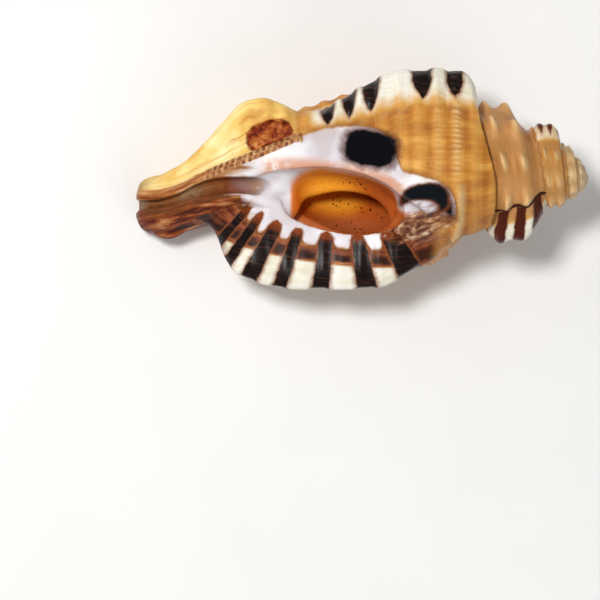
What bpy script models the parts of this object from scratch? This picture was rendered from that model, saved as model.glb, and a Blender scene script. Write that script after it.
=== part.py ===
"""Triton shell lying on its back, aperture up: one closed solid with a hollow mouth and an open canal.

The outer surface is a height field round the shell's axis. A point is given by its distance from
the apex along the axis and its turn round the axis. The suture spiral says which whorl it lies on,
and the whorl's profile, varices, cords and knobs give the radius there. The mouth and the canal
are cut out with two swept cutters. Lengths are millimetres until the mesh is made, in metres.
"""

import math

import bmesh
import bpy
import numpy as np
from mathutils import Vector

MM = 0.001

# Driving dimensions
SHELL_LENGTH = 120.0
LIP_TURN_DEG = 150.0
WHORLS = 6
RING_COUNT = 78
COLUMN_COUNT = 54
FIRST_RING = 0.15
RING_CROWDING = 1.18

# Suture spiral: its distance from the apex one turn before the lip, how fast that grows, and the
# radius of the shell at the suture against its distance
SUTURE_AT_LAST_TURN = 24.5
SUTURE_GROWTH = 0.72
SUTURE_SLOWING = 0.29
# Where the suture sways from that spiral: turn, shift, half width in turns
SUTURE_SWAYS = ((-1.05, 3.8, 0.07), (-0.85, -1.3, 0.09))
SUTURE_RADIUS = ((0.0, 1.2), (1.3, 2.9), (2.7, 4.2), (5.5, 6.2), (7.8, 7.7), (11.2, 9.0), (16.0, 10.8),
                 (24.5, 13.6), (37.0, 16.0))

# Profiles of the last whorl: distance from the apex against radius
BACK_PROFILE = ((24, 17.0), (31, 19.5), (38, 23.0), (45, 25.0), (54, 24.6), (64, 22.6), (74, 19.0),
                (84, 15.0), (94, 12.0), (104, 10.0), (112, 8.6), (118, 7.0), (120, 5.0))
FRONT_PROFILE = ((24, 15.5), (28, 18.0), (36, 20.6), (44, 21.0), (52, 19.0), (60, 16.2), (70, 13.4),
                 (80, 11.6), (90, 10.0), (104, 8.5), (112, 8.0), (118, 6.8), (120, 5.0))
LEFT_VARIX_PROFILE = ((24, 17.0), (29, 21.0), (32, 26.5), (38, 28.5), (45, 28.6), (52, 27.6),
                      (58, 25.2), (64, 21.5), (71, 17.2), (76, 16.4), (81, 18.8), (87, 20.7),
                      (92, 20.4), (97, 17.0), (102, 13.5), (107, 10.6), (112, 9.0), (120, 5.0))
LIP_PROFILE = ((24, 17.0), (37, 20.0), (41, 23.5), (47, 27.2), (54, 31.0), (62, 32.0), (74, 32.0),
               (83, 31.4), (88, 29.6), (93, 26.0), (96, 21.0), (99, 12.0), (102, 8.8), (106, 8.8),
               (110, 9.6), (114.4, 8.3), (118, 4.8), (120, 3.0))

# Varices: turn at the crest, and the reach of the older and of the younger slope, in degrees
LEFT_VARIX = (22.0, 26.0, 20.0)
LIP_VARIX = (168.0, 15.0, 34.0)
# Half the height of the ribs on those two varices, which the solid levels out
RIB_ALLOWANCE = 0.35

SPIRE_VARICES_DEG = (-483.0, -735.0, -958.0, -1190.0)
SPIRE_VARIX_HEIGHT = 0.46
SPIRE_VARIX_REACH = (26.0, 30.0)
SPIRE_VARIX_SLANT_DEG = 14.0

# Keels of the spire: share of the whorl, half width as a share of it, height over the suture's distance
SPIRE_KEELS = ((0.36, 0.12, 0.12), (0.76, 0.11, 0.14))
KEEL_LARGEST_START = 14.0
# Share of a whorl over which its shoulder rises, on the oldest whorls and on the younger ones
SPIRE_STEP_SHARES = (0.14, 0.30)
# Share of a whorl's growth in radius that is an even slope; its shoulder takes the rest
SLOPE_SHARE = 0.40
KNOBS_PER_TURN = 8.4
KNOB_PHASE = 0.237
# Height of the keels between knobs and of the knobs over that, as shares of the keel's height
KEEL_SHARE = 0.20
KNOB_SHARE = 1.60
KEEL_LOSS_ON_VARIX = 0.6
# The one large knob at the suture: turn, half width in turns, distance, half length, height
SHOULDER_KNOB = (-1.56, 0.08, 24.2, 3.2, 2.4)

# Fold that joins the lip's upper end to the whorl before: height, reach, and the turns over which it fades
FOLD_HEIGHT = 4.6
FOLD_REACH = 3.4
FOLD_TURNS = (-1.22, -1.10)

# Knobs on the shoulder: growth angle from the lip in degrees, height in millimetres
BACK_KNOBS = ((-52.0, 2.6), (-97.0, 5.2), (-144.0, 5.6))
KNOB_DISTANCE = 43.0
KNOB_HALF_LENGTH = 8.0
KNOB_HALF_TURN_DEG = 14.0
BELLY_GROWTH = 0.16

# Height of the spiral cords' crests, to which the surface is levelled in front and behind
CORD_FRONT = 0.2
CORD_BACK = 0.75

# The canal bends away from the straight axis, and the apex leans the same way
CANAL_BEND_START = 84.0
CANAL_BEND_END = 116.0
CANAL_BEND_Y = -9.0
CANAL_BEND_Z = -6.0
APEX_LEAN_END = 16.0
APEX_LEAN_Y = -1.9
TIP_LENGTH = 1.2

# Hollow between the hump and the canal: distance and y of its middle, half sizes, lean and depth
CHINK_MIDDLE = (84.8, 9.0)
CHINK_HALF = (6.4, 4.1)
CHINK_LEAN_DEG = -16.0
CHINK_DEPTH = 2.2

# The mouth is a wide funnel above a narrower throat, and runs back behind the lip as a tunnel
MOUTH_STATIONS = (
    # z, apex distance and y of the middle, half length, half width
    (40.0, 70.2, -8.6, 20.5, 8.0),
    (10.0, 70.2, -8.6, 20.5, 8.0),
    (7.0, 69.0, -8.4, 18.3, 7.8),
    (5.0, 67.0, -8.2, 15.2, 7.6),
    (2.0, 65.6, -8.0, 13.2, 7.0),
    (-1.0, 65.2, -8.0, 10.2, 5.6),
    (-3.0, 65.2, -8.0, 3.0, 1.7),
)
MOUTH_LEAN_DEG = 10.0
WALL_THICKNESS = 3.0
TUNNEL_LEAST_DEPTH = 2.0
TUNNEL_STATIONS = (
    # turn, apex distance of the centre, half length, inner radius
    (152.0, 66.0, 12.5, 7.2),
    (180.0, 65.5, 14.0, 6.6),
    (220.0, 63.0, 13.5, 6.4),
    (260.0, 59.0, 12.0, 6.8),
    (300.0, 54.5, 10.0, 7.8),
    (330.0, 51.5, 8.0, 9.4),
)
# Farthest the tunnel reaches out against turn, which keeps the lip thick
TUNNEL_REACH = ((150, 13.0), (158, 14.5), (165, 21.0), (172, 30.0), (180, 42.0))
CANAL_PATH = (
    # apex distance, y, z, half width
    (78.0, -6.6, 8.5, 3.6),
    (86.0, -4.6, 7.6, 2.3),
    (92.0, -3.9, 6.2, 2.0),
    (98.0, -4.1, 4.6, 2.0),
    (104.0, -5.4, 2.8, 1.7),
    (109.0, -7.4, 1.2, 1.2),
    (114.0, -8.6, -0.8, 1.0),
    (120.0, -9.0, -3.2, 1.3),
    (126.0, -9.0, -3.2, 1.3),
)
CANAL_SLOT_DEPTH = 16.0
SECTION_SIDES = 20
SECTION_COUNT = 16
CANAL_FLOOR_POINTS = 7

# Turn of the shell as it lies at rest on two back knobs and the canal
REST_ROLL_DEG = -0.17
REST_PITCH_DEG = -11.36

SHELL_COLOUR = (0.72, 0.43, 0.17, 1.0)
SHELL_ROUGHNESS = 0.35


def smooth_step(value):
    """0 below 0, 1 above 1, with a smooth rise between."""
    value = np.clip(value, 0.0, 1.0)
    return value * value * (3.0 - 2.0 * value)


def curve(profile, distance):
    """Radius at a distance, along a smooth monotone curve through the profile's points."""
    points = np.array(profile, float)
    x, y = points[:, 0], points[:, 1]
    slope = np.diff(y) / np.diff(x)
    inner = np.where(slope[1:] * slope[:-1] > 0, (slope[1:] + slope[:-1]) / 2, 0)
    tangent = np.concatenate(([slope[0]], inner, [slope[-1]]))
    distance = np.clip(distance, x[0], x[-1])
    i = np.clip(np.searchsorted(x, distance) - 1, 0, len(x) - 2)
    h = x[i + 1] - x[i]
    u = (distance - x[i]) / h
    return ((1 + 2 * u) * (1 - u) ** 2 * y[i] + u * (1 - u) ** 2 * h * tangent[i]
            + u * u * (3 - 2 * u) * y[i + 1] + u * u * (u - 1) * h * tangent[i + 1])


def bump(value, centre, half_width):
    """A round bump, 1 at the centre."""
    return np.exp(-(((value - centre) / half_width) ** 2))


def suture_distance(turns):
    """Distance of the suture from the apex, at turns counted back from the lip."""
    late = np.clip(turns + 1.0, 0.0, None)
    even = SUTURE_AT_LAST_TURN * np.exp(SUTURE_GROWTH * (turns + 1.0) - SUTURE_SLOWING * late ** 2)
    return even + sum(shift * bump(turns, at, half) for at, shift, half in SUTURE_SWAYS)


def turn_gap(turn_deg, centre_deg):
    """Signed angle from centre to turn, from -180 to 180 degrees."""
    return (turn_deg - centre_deg + 180.0) % 360.0 - 180.0


def ridge(gap, low_side, high_side):
    """1 at gap 0, falling smoothly to 0 over each side's reach."""
    reach = np.where(gap < 0, low_side, high_side)
    return smooth_step(1.0 - np.abs(gap) / reach)


def spire_radius(distance, turns):
    """Radius of the whorls above the last one."""
    start, end = suture_distance(turns), suture_distance(turns + 1.0)
    across = np.clip((distance - start) / (end - start), 0.0, 1.0)
    low, high = curve(SUTURE_RADIUS, start), curve(SUTURE_RADIUS, end)
    slant = SPIRE_VARIX_SLANT_DEG * (0.5 - across)
    varix = sum(ridge(turns * 360.0 - crest - slant, *SPIRE_VARIX_REACH) for crest in SPIRE_VARICES_DEG)
    knobs = 0.5 + 0.5 * np.cos(2 * math.pi * (turns * KNOBS_PER_TURN + KNOB_PHASE))
    grown = smooth_step((-turns - 1.2) / 0.3)
    keels = sum(height * bump(across, place, half) for place, half, height in SPIRE_KEELS)
    keels = keels * (KEEL_SHARE + KNOB_SHARE * knobs ** 1.4 * grown)
    keels = keels * (1 - KEEL_LOSS_ON_VARIX * np.clip(varix, 0, 1))
    belly = np.sin(math.pi * across) ** 0.35
    at, half_turn, middle, half_length, height = SHOULDER_KNOB
    shoulder = height * bump(turns, at, half_turn) * bump(distance, middle, half_length)
    old, young = SPIRE_STEP_SHARES
    step = smooth_step(across / (young + (old - young) * smooth_step((-turns - 2.1) / 0.3)))
    fade_from, fade_to = FOLD_TURNS
    fold = bump(distance, end, FOLD_REACH) * smooth_step((turns - fade_from) / (fade_to - fade_from))
    return (low + (high - low) * (SLOPE_SHARE * across + (1 - SLOPE_SHARE) * step) + shoulder
            + np.minimum(start, KEEL_LARGEST_START) * keels + FOLD_HEIGHT * fold
            + start * SPIRE_VARIX_HEIGHT * varix * belly)


def last_whorl_radius(distance, turn_deg):
    """Radius of the last whorl, with its two varices and the knobs on its back."""
    facing = 0.5 + 0.5 * np.cos(np.radians(turn_deg - 100.0))
    facing = smooth_step(facing * 1.5 - 0.25)
    back_share = np.clip((360.0 - turn_deg) / 160.0, 0.0, 1.0)
    belly = 1.0 - BELLY_GROWTH * (1.0 - back_share) * smooth_step((distance - 40.0) / 20.0)
    radius = curve(BACK_PROFILE, distance) * belly * (1 - facing) + curve(FRONT_PROFILE, distance) * facing
    left = ridge(turn_gap(turn_deg, LEFT_VARIX[0]), LEFT_VARIX[2], LEFT_VARIX[1])
    radius = radius + left * (curve(LEFT_VARIX_PROFILE, distance) + RIB_ALLOWANCE - radius)
    lip = ridge(turn_gap(turn_deg, LIP_VARIX[0]), LIP_VARIX[1], LIP_VARIX[2])
    radius = radius + lip * (curve(LIP_PROFILE, distance) + RIB_ALLOWANCE - radius)
    for growth_deg, height in BACK_KNOBS:
        along = bump(distance, KNOB_DISTANCE, KNOB_HALF_LENGTH)
        round_axis = bump(turn_gap(turn_deg, LIP_TURN_DEG - growth_deg), 0.0, KNOB_HALF_TURN_DEG)
        radius = radius + height * along * round_axis
    crests = CORD_FRONT * facing + CORD_BACK * (1 - facing)
    return radius + crests * (1 - left) * (1 - lip)


def shell_radius(distance, turn_deg):
    """Radius of the outer surface at a distance from the apex and a turn round the axis."""
    last_turns = -((turn_deg - LIP_TURN_DEG) % 360.0) / 360.0
    radius = last_whorl_radius(distance, turn_deg)
    for whorl in range(1, WHORLS + 1):
        turns = last_turns - whorl
        inside = distance < suture_distance(turns + 1.0)
        radius = np.where(inside, spire_radius(distance, turns), radius)
    nose = np.clip(1.0 - distance / TIP_LENGTH, 0.0, 1.0)
    return radius * np.sqrt(1.0 - nose ** 2)


def chink_depth(distance, y, z):
    """Depth of the hollow between the hump and the canal, at points of the outer surface."""
    lean = math.radians(CHINK_LEAN_DEG)
    along, side = distance - CHINK_MIDDLE[0], y - CHINK_MIDDLE[1]
    out = np.hypot((along * math.cos(lean) + side * math.sin(lean)) / CHINK_HALF[0],
                   (side * math.cos(lean) - along * math.sin(lean)) / CHINK_HALF[1])
    return CHINK_DEPTH * smooth_step((1.0 - out) * CHINK_HALF[1]) * (z > 0)


def axis_offset(distance):
    """Y and Z of the canal's and the apex's centre line, away from the straight axis."""
    share = smooth_step((distance - CANAL_BEND_START) / (CANAL_BEND_END - CANAL_BEND_START))
    lean = np.clip(1.0 - distance / APEX_LEAN_END, 0.0, 1.0) ** 2
    return CANAL_BEND_Y * share + APEX_LEAN_Y * lean, CANAL_BEND_Z * share


def new_object(name, bm):
    """Makes a linked object from a bmesh whose lengths are in millimetres."""
    bmesh.ops.recalc_face_normals(bm, faces=bm.faces)
    bmesh.ops.scale(bm, vec=(MM, MM, MM), verts=bm.verts)
    mesh = bpy.data.meshes.new(name)
    bm.to_mesh(mesh)
    bm.free()
    made = bpy.data.objects.new(name, mesh)
    bpy.context.scene.collection.objects.link(made)
    return made


def loft(bm, rings):
    """Bridges rings of points into one closed skin, with a cap on each end."""
    made = [[bm.verts.new(point) for point in ring] for ring in rings]
    for low, high in zip(made, made[1:]):
        for i in range(len(low)):
            j = (i + 1) % len(low)
            bm.faces.new((low[i], low[j], high[j], high[i]))
    for ring in (made[0], made[-1]):
        centre = bm.verts.new(sum((v.co for v in ring), Vector()) / len(ring))
        for i in range(len(ring)):
            bm.faces.new((ring[i], ring[(i + 1) % len(ring)], centre))


def make_body():
    """The outer form of the shell, still filled."""
    share = np.linspace(0.0, 1.0, RING_COUNT)
    distances = FIRST_RING + (SHELL_LENGTH - FIRST_RING) * share ** RING_CROWDING
    turns_deg = np.linspace(0.0, 360.0, COLUMN_COUNT, endpoint=False)
    angle = np.radians(turns_deg)
    rings = []
    for distance in distances:
        radius = shell_radius(np.full(COLUMN_COUNT, distance), turns_deg)
        middle_y, middle_z = axis_offset(distance)
        y, z = radius * np.cos(angle) + middle_y, radius * np.sin(angle) + middle_z
        radius = radius - chink_depth(distance, y, z)
        y, z = radius * np.cos(angle) + middle_y, radius * np.sin(angle) + middle_z
        rings.append([(-distance, float(side), float(up)) for side, up in zip(y, z)])
    bm = bmesh.new()
    loft(bm, rings)
    return new_object("triton_shell", bm)


def along_path(path, count):
    """Points read evenly from a smooth curve through the path's own points."""
    points = np.array(path, float)
    knots = np.arange(len(points))
    where = np.linspace(0, len(points) - 1, count)
    return np.column_stack([curve(tuple(zip(knots, column)), where) for column in points.T])


def make_mouth_cutter():
    """The funnel and the throat below it, from in front of the lip into the shell."""
    lean = math.radians(MOUTH_LEAN_DEG)
    rings = []
    for height, distance, y, half_length, half_width in MOUTH_STATIONS:
        ring = []
        for side in range(SECTION_SIDES):
            angle = 2 * math.pi * side / SECTION_SIDES
            along, across = math.cos(angle) * half_length, math.sin(angle) * half_width
            ring.append((-distance - along * math.cos(lean) + across * math.sin(lean),
                         y + along * math.sin(lean) + across * math.cos(lean), height))
        rings.append(ring)
    bm = bmesh.new()
    loft(bm, rings)
    return new_object("mouth_cutter", bm)


def make_tunnel_cutter():
    """The hollow of the last whorl: it follows the outer surface, one wall thickness below it."""
    rings = []
    for turn_deg, distance, half_length, inner in along_path(TUNNEL_STATIONS, SECTION_COUNT):
        turn = math.radians(turn_deg)
        ring = []
        for side in range(SECTION_SIDES):
            angle = 2 * math.pi * side / SECTION_SIDES
            at = distance + half_length * math.cos(angle)
            outer = float(shell_radius(np.array([at]), np.array([turn_deg]))[0]) - WALL_THICKNESS
            outer = min(outer, float(curve(TUNNEL_REACH, turn_deg)))
            depth = max(outer - inner, TUNNEL_LEAST_DEPTH)
            radius = inner + depth * (0.5 + 0.5 * math.sin(angle))
            ring.append((-at, radius * math.cos(turn), radius * math.sin(turn)))
        rings.append(ring)
    bm = bmesh.new()
    loft(bm, rings)
    return new_object("tunnel_cutter", bm)


def make_canal_cutter():
    """A narrow slot with a round floor, open at the front and at the canal's end."""
    rings = []
    for distance, y, z, half in along_path(CANAL_PATH, SECTION_COUNT):
        turns = np.linspace(math.pi, 2 * math.pi, CANAL_FLOOR_POINTS)
        floor = [(math.cos(a) * half, math.sin(a) * half) for a in turns]
        outline = floor + [(half, CANAL_SLOT_DEPTH), (-half, CANAL_SLOT_DEPTH)]
        rings.append([(-distance, y + side, z + up) for side, up in outline])
    bm = bmesh.new()
    loft(bm, rings)
    return new_object("canal_cutter", bm)


def cut(body, cutter):
    """Takes the cutter's shape out of the body with a Boolean that stays on the body."""
    cutter.hide_render = True
    cutter.display_type = "WIRE"
    modifier = body.modifiers.new(cutter.name, "BOOLEAN")
    modifier.operation = "DIFFERENCE"
    modifier.object = cutter


def shell_material():
    """Glossy ochre shell."""
    material = bpy.data.materials.new("ochre_shell")
    material.use_nodes = True
    shader = material.node_tree.nodes["Principled BSDF"]
    shader.inputs["Base Color"].default_value = SHELL_COLOUR
    shader.inputs["Roughness"].default_value = SHELL_ROUGHNESS
    shader.inputs["Metallic"].default_value = 0.0
    return material


def lay_down(objects):
    """Turns the shell about its axis frame onto its back, with its box centred on the floor point."""
    pose = bpy.data.objects.new("rest_pose", None)
    bpy.context.scene.collection.objects.link(pose)
    pose.rotation_euler = (math.radians(REST_ROLL_DEG), math.radians(REST_PITCH_DEG), 0.0)
    turn = pose.rotation_euler.to_matrix()
    points = np.array([turn @ vertex.co for vertex in objects[0].data.vertices])
    low, high = points.min(axis=0), points.max(axis=0)
    pose.location = (-(low[0] + high[0]) / 2, -(low[1] + high[1]) / 2, -low[2])
    for item in objects:
        item.parent = pose


def main():
    for old in list(bpy.data.objects):
        bpy.data.objects.remove(old)
    body = make_body()
    body.data.materials.append(shell_material())
    body.data.shade_smooth()
    cutters = [make_mouth_cutter(), make_tunnel_cutter(), make_canal_cutter()]
    for cutter in cutters:
        cut(body, cutter)
    lay_down([body, *cutters])


main()
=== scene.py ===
"""A triton shell, mouth up, on a pale studio floor.

The shell is grown the way the animal grows it: a suture spiral, a profile for each whorl, a varix
at each halt in growth, and cords and knobs on top. The whole form is one signed field in
millimetres. A fine skin is drawn over that field and stands in for the plain CAD node, and what
each point of the skin is (enamel, bar, cord, throat) is kept as mesh attributes for the material.

Shell frame: the apex is at the origin and the canal runs towards -X, +Y is the side away from the
outer lip and +Z is the side of the mouth. A distance is millimetres from the apex along the axis,
and turns are degrees round the axis, from +Y towards +Z.
"""

import logging
import math
from dataclasses import dataclass, field
from enum import Enum

import bpy
import numpy as np
from mathutils import Euler, Matrix, Vector


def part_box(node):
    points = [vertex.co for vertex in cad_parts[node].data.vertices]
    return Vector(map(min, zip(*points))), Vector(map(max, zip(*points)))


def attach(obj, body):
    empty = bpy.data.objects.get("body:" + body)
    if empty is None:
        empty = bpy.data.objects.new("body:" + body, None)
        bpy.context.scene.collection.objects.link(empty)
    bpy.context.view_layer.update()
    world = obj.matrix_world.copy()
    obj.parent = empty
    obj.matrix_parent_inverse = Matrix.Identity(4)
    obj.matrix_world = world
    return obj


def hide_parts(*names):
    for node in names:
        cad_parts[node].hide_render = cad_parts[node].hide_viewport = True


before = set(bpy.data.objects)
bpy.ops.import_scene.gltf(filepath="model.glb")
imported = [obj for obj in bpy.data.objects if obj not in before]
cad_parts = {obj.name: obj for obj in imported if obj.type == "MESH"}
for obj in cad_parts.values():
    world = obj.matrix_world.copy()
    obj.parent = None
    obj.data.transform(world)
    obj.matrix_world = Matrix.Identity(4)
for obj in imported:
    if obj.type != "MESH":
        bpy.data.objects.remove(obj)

LOG = logging.getLogger("triton_shell")

MM = 0.001
CAD_NODE = "triton_shell"

Values = np.ndarray
Socket = bpy.types.NodeSocket
Colour = tuple[float, float, float, float]
Given = Socket | str | float | tuple[float, ...]
Stops = tuple[tuple[float, str], ...]
Point2 = tuple[float, float]
Point3 = tuple[float, float, float]


# ---- small mathematics

def ease(value: Values) -> Values:
    """Ease from 0 to 1, where shares of 0 and below give 0, and 1 and above give 1."""
    value = np.clip(value, 0.0, 1.0)
    return value * value * (3.0 - 2.0 * value)


def bump_at(value: Values, centre: float, half_width: float) -> Values:
    """Give a round bump of height 1 at its centre and a third of that one half width away."""
    return np.exp(-(((value - centre) / half_width) ** 2))


def turn_gap(turn_deg: Values, centre_deg: float) -> Values:
    """Measure the signed angle from a centre, from -180 to 180 degrees."""
    return (turn_deg - centre_deg + 180.0) % 360.0 - 180.0


def smooth_max(first: Values, second: Values, blend_mm: float) -> Values:
    """Join two fields at their larger value, with a corner rounded by the given size."""
    share = np.clip(1.0 - np.abs(first - second) / blend_mm, 0.0, 1.0)
    return np.maximum(first, second) + share * share * blend_mm / 4.0


def smooth_min(first: Values, second: Values, blend_mm: float) -> Values:
    """Join two fields at their smaller value, with a corner rounded by the given size."""
    return -smooth_max(-first, -second, blend_mm)


@dataclass(frozen=True)
class Profile:
    """A smooth curve through a few points, which never overshoots between them.

    Attributes:
        points: Pairs of place and size, in millimetres.
    """

    points: tuple[Point2, ...]

    def at(self, place: Values) -> Values:
        """Read the curve.

        Args:
            place: Places along the curve; beyond its ends it stays level.

        Returns:
            The size at each place.
        """
        x, y = np.array(self.points, float).T
        slope = np.diff(y) / np.diff(x)
        inner = np.where(slope[1:] * slope[:-1] > 0, (slope[1:] + slope[:-1]) / 2, 0.0)
        tangent = np.concatenate((slope[:1], inner, slope[-1:]))
        place = np.clip(place, x[0], x[-1])
        i = np.clip(np.searchsorted(x, place) - 1, 0, len(x) - 2)
        step = x[i + 1] - x[i]
        u = (place - x[i]) / step
        return ((1 + 2 * u) * (1 - u) ** 2 * y[i] + u * (1 - u) ** 2 * step * tangent[i]
                + u * u * (3 - 2 * u) * y[i + 1] + u * u * (u - 1) * step * tangent[i + 1])


@dataclass(frozen=True)
class Oval:
    """An ellipse drawn on the side of the mouth.

    Attributes:
        centre: Distance and Y of its centre, in millimetres.
        half_length: Half its long axis.
        half_width: Half its short axis.
        lean_deg: Turn of the long axis; positive lifts the canal's end.
        square: Power of the outline: 2 is an ellipse and more is squarer.
    """

    centre: Point2
    half_length: float
    half_width: float
    lean_deg: float = 0.0
    square: float = 2.0

    def ratio(self, distance: Values, across: Values) -> Values:
        """Measure how far out a point lies.

        Args:
            distance: Distance.
            across: Y of the point.

        Returns:
            0 at the centre and 1 on the outline.
        """
        lean = math.radians(self.lean_deg)
        along, side = distance - self.centre[0], across - self.centre[1]
        long_way = (along * math.cos(lean) + side * math.sin(lean)) / self.half_length
        short_way = (side * math.cos(lean) - along * math.sin(lean)) / self.half_width
        return (np.abs(long_way) ** self.square + np.abs(short_way) ** self.square) ** (1 / self.square)

    def inside(self, distance: Values, across: Values) -> Values:
        """Measure the depth inside the outline in millimetres, negative outside."""
        return (1.0 - self.ratio(distance, across)) * min(self.half_length, self.half_width)


@dataclass(frozen=True)
class Trail:
    """A smooth path along the shell that carries some sizes with it.

    Attributes:
        stations: Tuples of distance and any other sizes there.
    """

    stations: tuple[tuple[float, ...], ...]

    def at(self, distance: Values) -> list[Values]:
        """Read the sizes beside each distance.

        Args:
            distance: Distance.

        Returns:
            One array for each size after the first.
        """
        keys = [row[0] for row in self.stations]
        count = len(self.stations[0])
        return [Profile(tuple(zip(keys, (row[c] for row in self.stations)))).at(distance)
                for c in range(1, count)]


# ---- how the shell grows

@dataclass(frozen=True)
class Suture:
    """The spiral along which each whorl meets the one before.

    Attributes:
        last_turn_mm: Distance one turn before the lip.
        growth: Growth of that distance in each turn, as an exponent.
        slowing: How much the last turn falls short of it.
        sways: Turn, shift and half width of each sway away from that spiral.
        radius: Radius of the shell at the suture against its distance.
        lip_deg: Turn at which growth stopped.
        whorls: Number of whorls above the last.
    """

    last_turn_mm: float = 24.5
    growth: float = 0.72
    slowing: float = 0.29
    sways: tuple[Point3, ...] = ((-1.05, 3.8, 0.07), (-0.85, -1.3, 0.09))
    radius: Profile = Profile((
        (0.0, 1.2), (1.3, 2.9), (2.7, 4.2), (5.5, 6.2), (7.8, 7.7), (11.2, 9.0), (16.0, 10.8), (24.5, 13.6),
        (37.0, 16.0)))
    lip_deg: float = 150.0
    whorls: int = 6

    def distance(self, turns: Values) -> Values:
        """Place the suture.

        Args:
            turns: Turns counted back from the lip, so negative.

        Returns:
            Its distance.
        """
        late = np.clip(turns + 1.0, 0.0, None)
        even = self.last_turn_mm * np.exp(self.growth * (turns + 1.0) - self.slowing * late ** 2)
        return even + sum(shift * bump_at(turns, at, half) for at, shift, half in self.sways)


@dataclass(frozen=True)
class Axis:
    """The line that the shell is wound on: straight but for the canal's bend and the apex's lean.

    Attributes:
        bend_from: Distance at which the canal's bend starts.
        bend_to: Distance at which it ends.
        bend_y: How far the canal moves towards the lip's side.
        bend_z: How far it moves towards the back.
        lean_to: Distance at which the apex's lean has died out.
        lean_y: How far the apex moves towards the lip's side.
    """

    bend_from: float = 84.0
    bend_to: float = 116.0
    bend_y: float = -9.0
    bend_z: float = -6.0
    lean_to: float = 16.0
    lean_y: float = -1.9

    def offset(self, distance: Values) -> tuple[Values, Values]:
        """Find the axis.

        Args:
            distance: Distance.

        Returns:
            Y and Z of the axis.
        """
        share = ease((distance - self.bend_from) / (self.bend_to - self.bend_from))
        lean = np.clip(1.0 - distance / self.lean_to, 0.0, 1.0) ** 2
        return self.bend_y * share + self.lean_y * lean, self.bend_z * share


@dataclass(frozen=True)
class Canal:
    """The groove of the siphonal canal, open on the mouth's side.

    Attributes:
        groove: Distance, Y, Z and half width of the groove.
    """

    groove: Trail = Trail((
        (78.0, -6.6, 8.5, 3.6), (86.0, -4.6, 7.6, 2.3), (92.0, -3.9, 6.2, 2.0), (98.0, -4.1, 4.6, 2.0),
        (104.0, -5.4, 2.8, 1.7), (109.0, -7.4, 1.2, 1.2), (114.0, -8.6, -0.8, 1.0), (117.6, -8.9, -3.2, 1.1),
        (121.0, -9.2, -14.0, 1.7)))

    def hollow(self, home: Values) -> Values:
        """Give the field of the groove.

        Args:
            home: Points of the shell frame.

        Returns:
            Signed millimetres, negative in the groove.
        """
        distance = -home[:, 0]
        y, z, half = self.groove.at(distance)
        side, up = home[:, 1] - y, home[:, 2] - z
        slot = np.hypot(side, np.minimum(up, 0.0)) - half
        return np.maximum(slot, self.groove.stations[0][0] - distance)


@dataclass
class Spot:
    """Points of the shell frame with their place in the spiral.

    Attributes:
        home: The points, in millimetres.
        distance: Distance along the axis.
        radius: Distance from the axis, or from the canal's middle.
        turn_deg: Turn round the axis.
        turns: Growth turns counted back from the lip.
        start: Suture before the point.
        end: Suture after it.
        last: True on the last whorl.
    """

    home: Values
    distance: Values
    radius: Values
    turn_deg: Values
    turns: Values
    start: Values
    end: Values
    last: Values

    @classmethod
    def read(cls, home: Values, suture: Suture, axis: Axis) -> "Spot":
        """Find where points lie in the spiral.

        Args:
            home: Points of the shell frame.
            suture: The spiral.
            axis: The axis.

        Returns:
            The points with their places.
        """
        distance = -home[:, 0]
        middle_y, middle_z = axis.offset(distance)
        y, z = home[:, 1] - middle_y, home[:, 2] - middle_z
        turn_deg = np.degrees(np.arctan2(z, y)) % 360.0
        turns = -((turn_deg - suture.lip_deg) % 360.0) / 360.0
        for _ in range(suture.whorls):
            older = np.maximum(turns - 1.0, -suture.whorls - 1.0)
            turns = np.where(distance < suture.distance(turns), older, turns)
        return cls(home, distance, np.hypot(y, z), turn_deg, turns, suture.distance(turns),
                   suture.distance(turns + 1.0), turns > -1.0)

    @property
    def across(self) -> Values:
        """Share of the way from the older suture to the younger."""
        return np.clip((self.distance - self.start) / (self.end - self.start), 0.0, 1.0)


@dataclass(frozen=True)
class Bars:
    """Dark bars between the pale ribs of a varix.

    Attributes:
        centres: Distances of their middles at the crest.
        widths: Their widths there.
        rib_mm: Height of the ribs over the bars.
        flame: Share of the older slope at which they have tapered to a point.
    """

    centres: tuple[float, ...]
    widths: tuple[float, ...]
    rib_mm: float = 0.4
    flame: float = 0.7

    def depth(self, distance: Values, taper: Values) -> Values:
        """Measure the depth inside the nearest bar.

        Args:
            distance: Distance, already moved for the bars' slant.
            taper: Share of the full width left at the point.

        Returns:
            Millimetres inside, negative outside.
        """
        found = np.full(distance.shape, -9.0)
        for centre, width in zip(self.centres, self.widths):
            found = np.maximum(found, width / 2 * taper - np.abs(distance - centre))
        return found


@dataclass(frozen=True)
class Varix:
    """A thick rib left where growth halted.

    Attributes:
        crest_deg: Turn of its crest.
        older_deg: Reach of its older slope.
        younger_deg: Reach of its younger slope.
        profile: Radius at its crest against distance.
        bars: Its colour bars.
    """

    crest_deg: float
    older_deg: float
    younger_deg: float
    profile: Profile
    bars: Bars

    def gap(self, spot: Spot) -> Values:
        """Give 0 at the crest, 1 at the foot of the older slope and -1 at that of the younger."""
        gap = turn_gap(spot.turn_deg, self.crest_deg)
        return gap / np.where(gap > 0, self.older_deg, self.younger_deg)

    def closeness(self, spot: Spot) -> Values:
        """Give 1 at the crest, falling smoothly to 0 at each foot."""
        return ease(1.0 - np.abs(self.gap(spot)))


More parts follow.
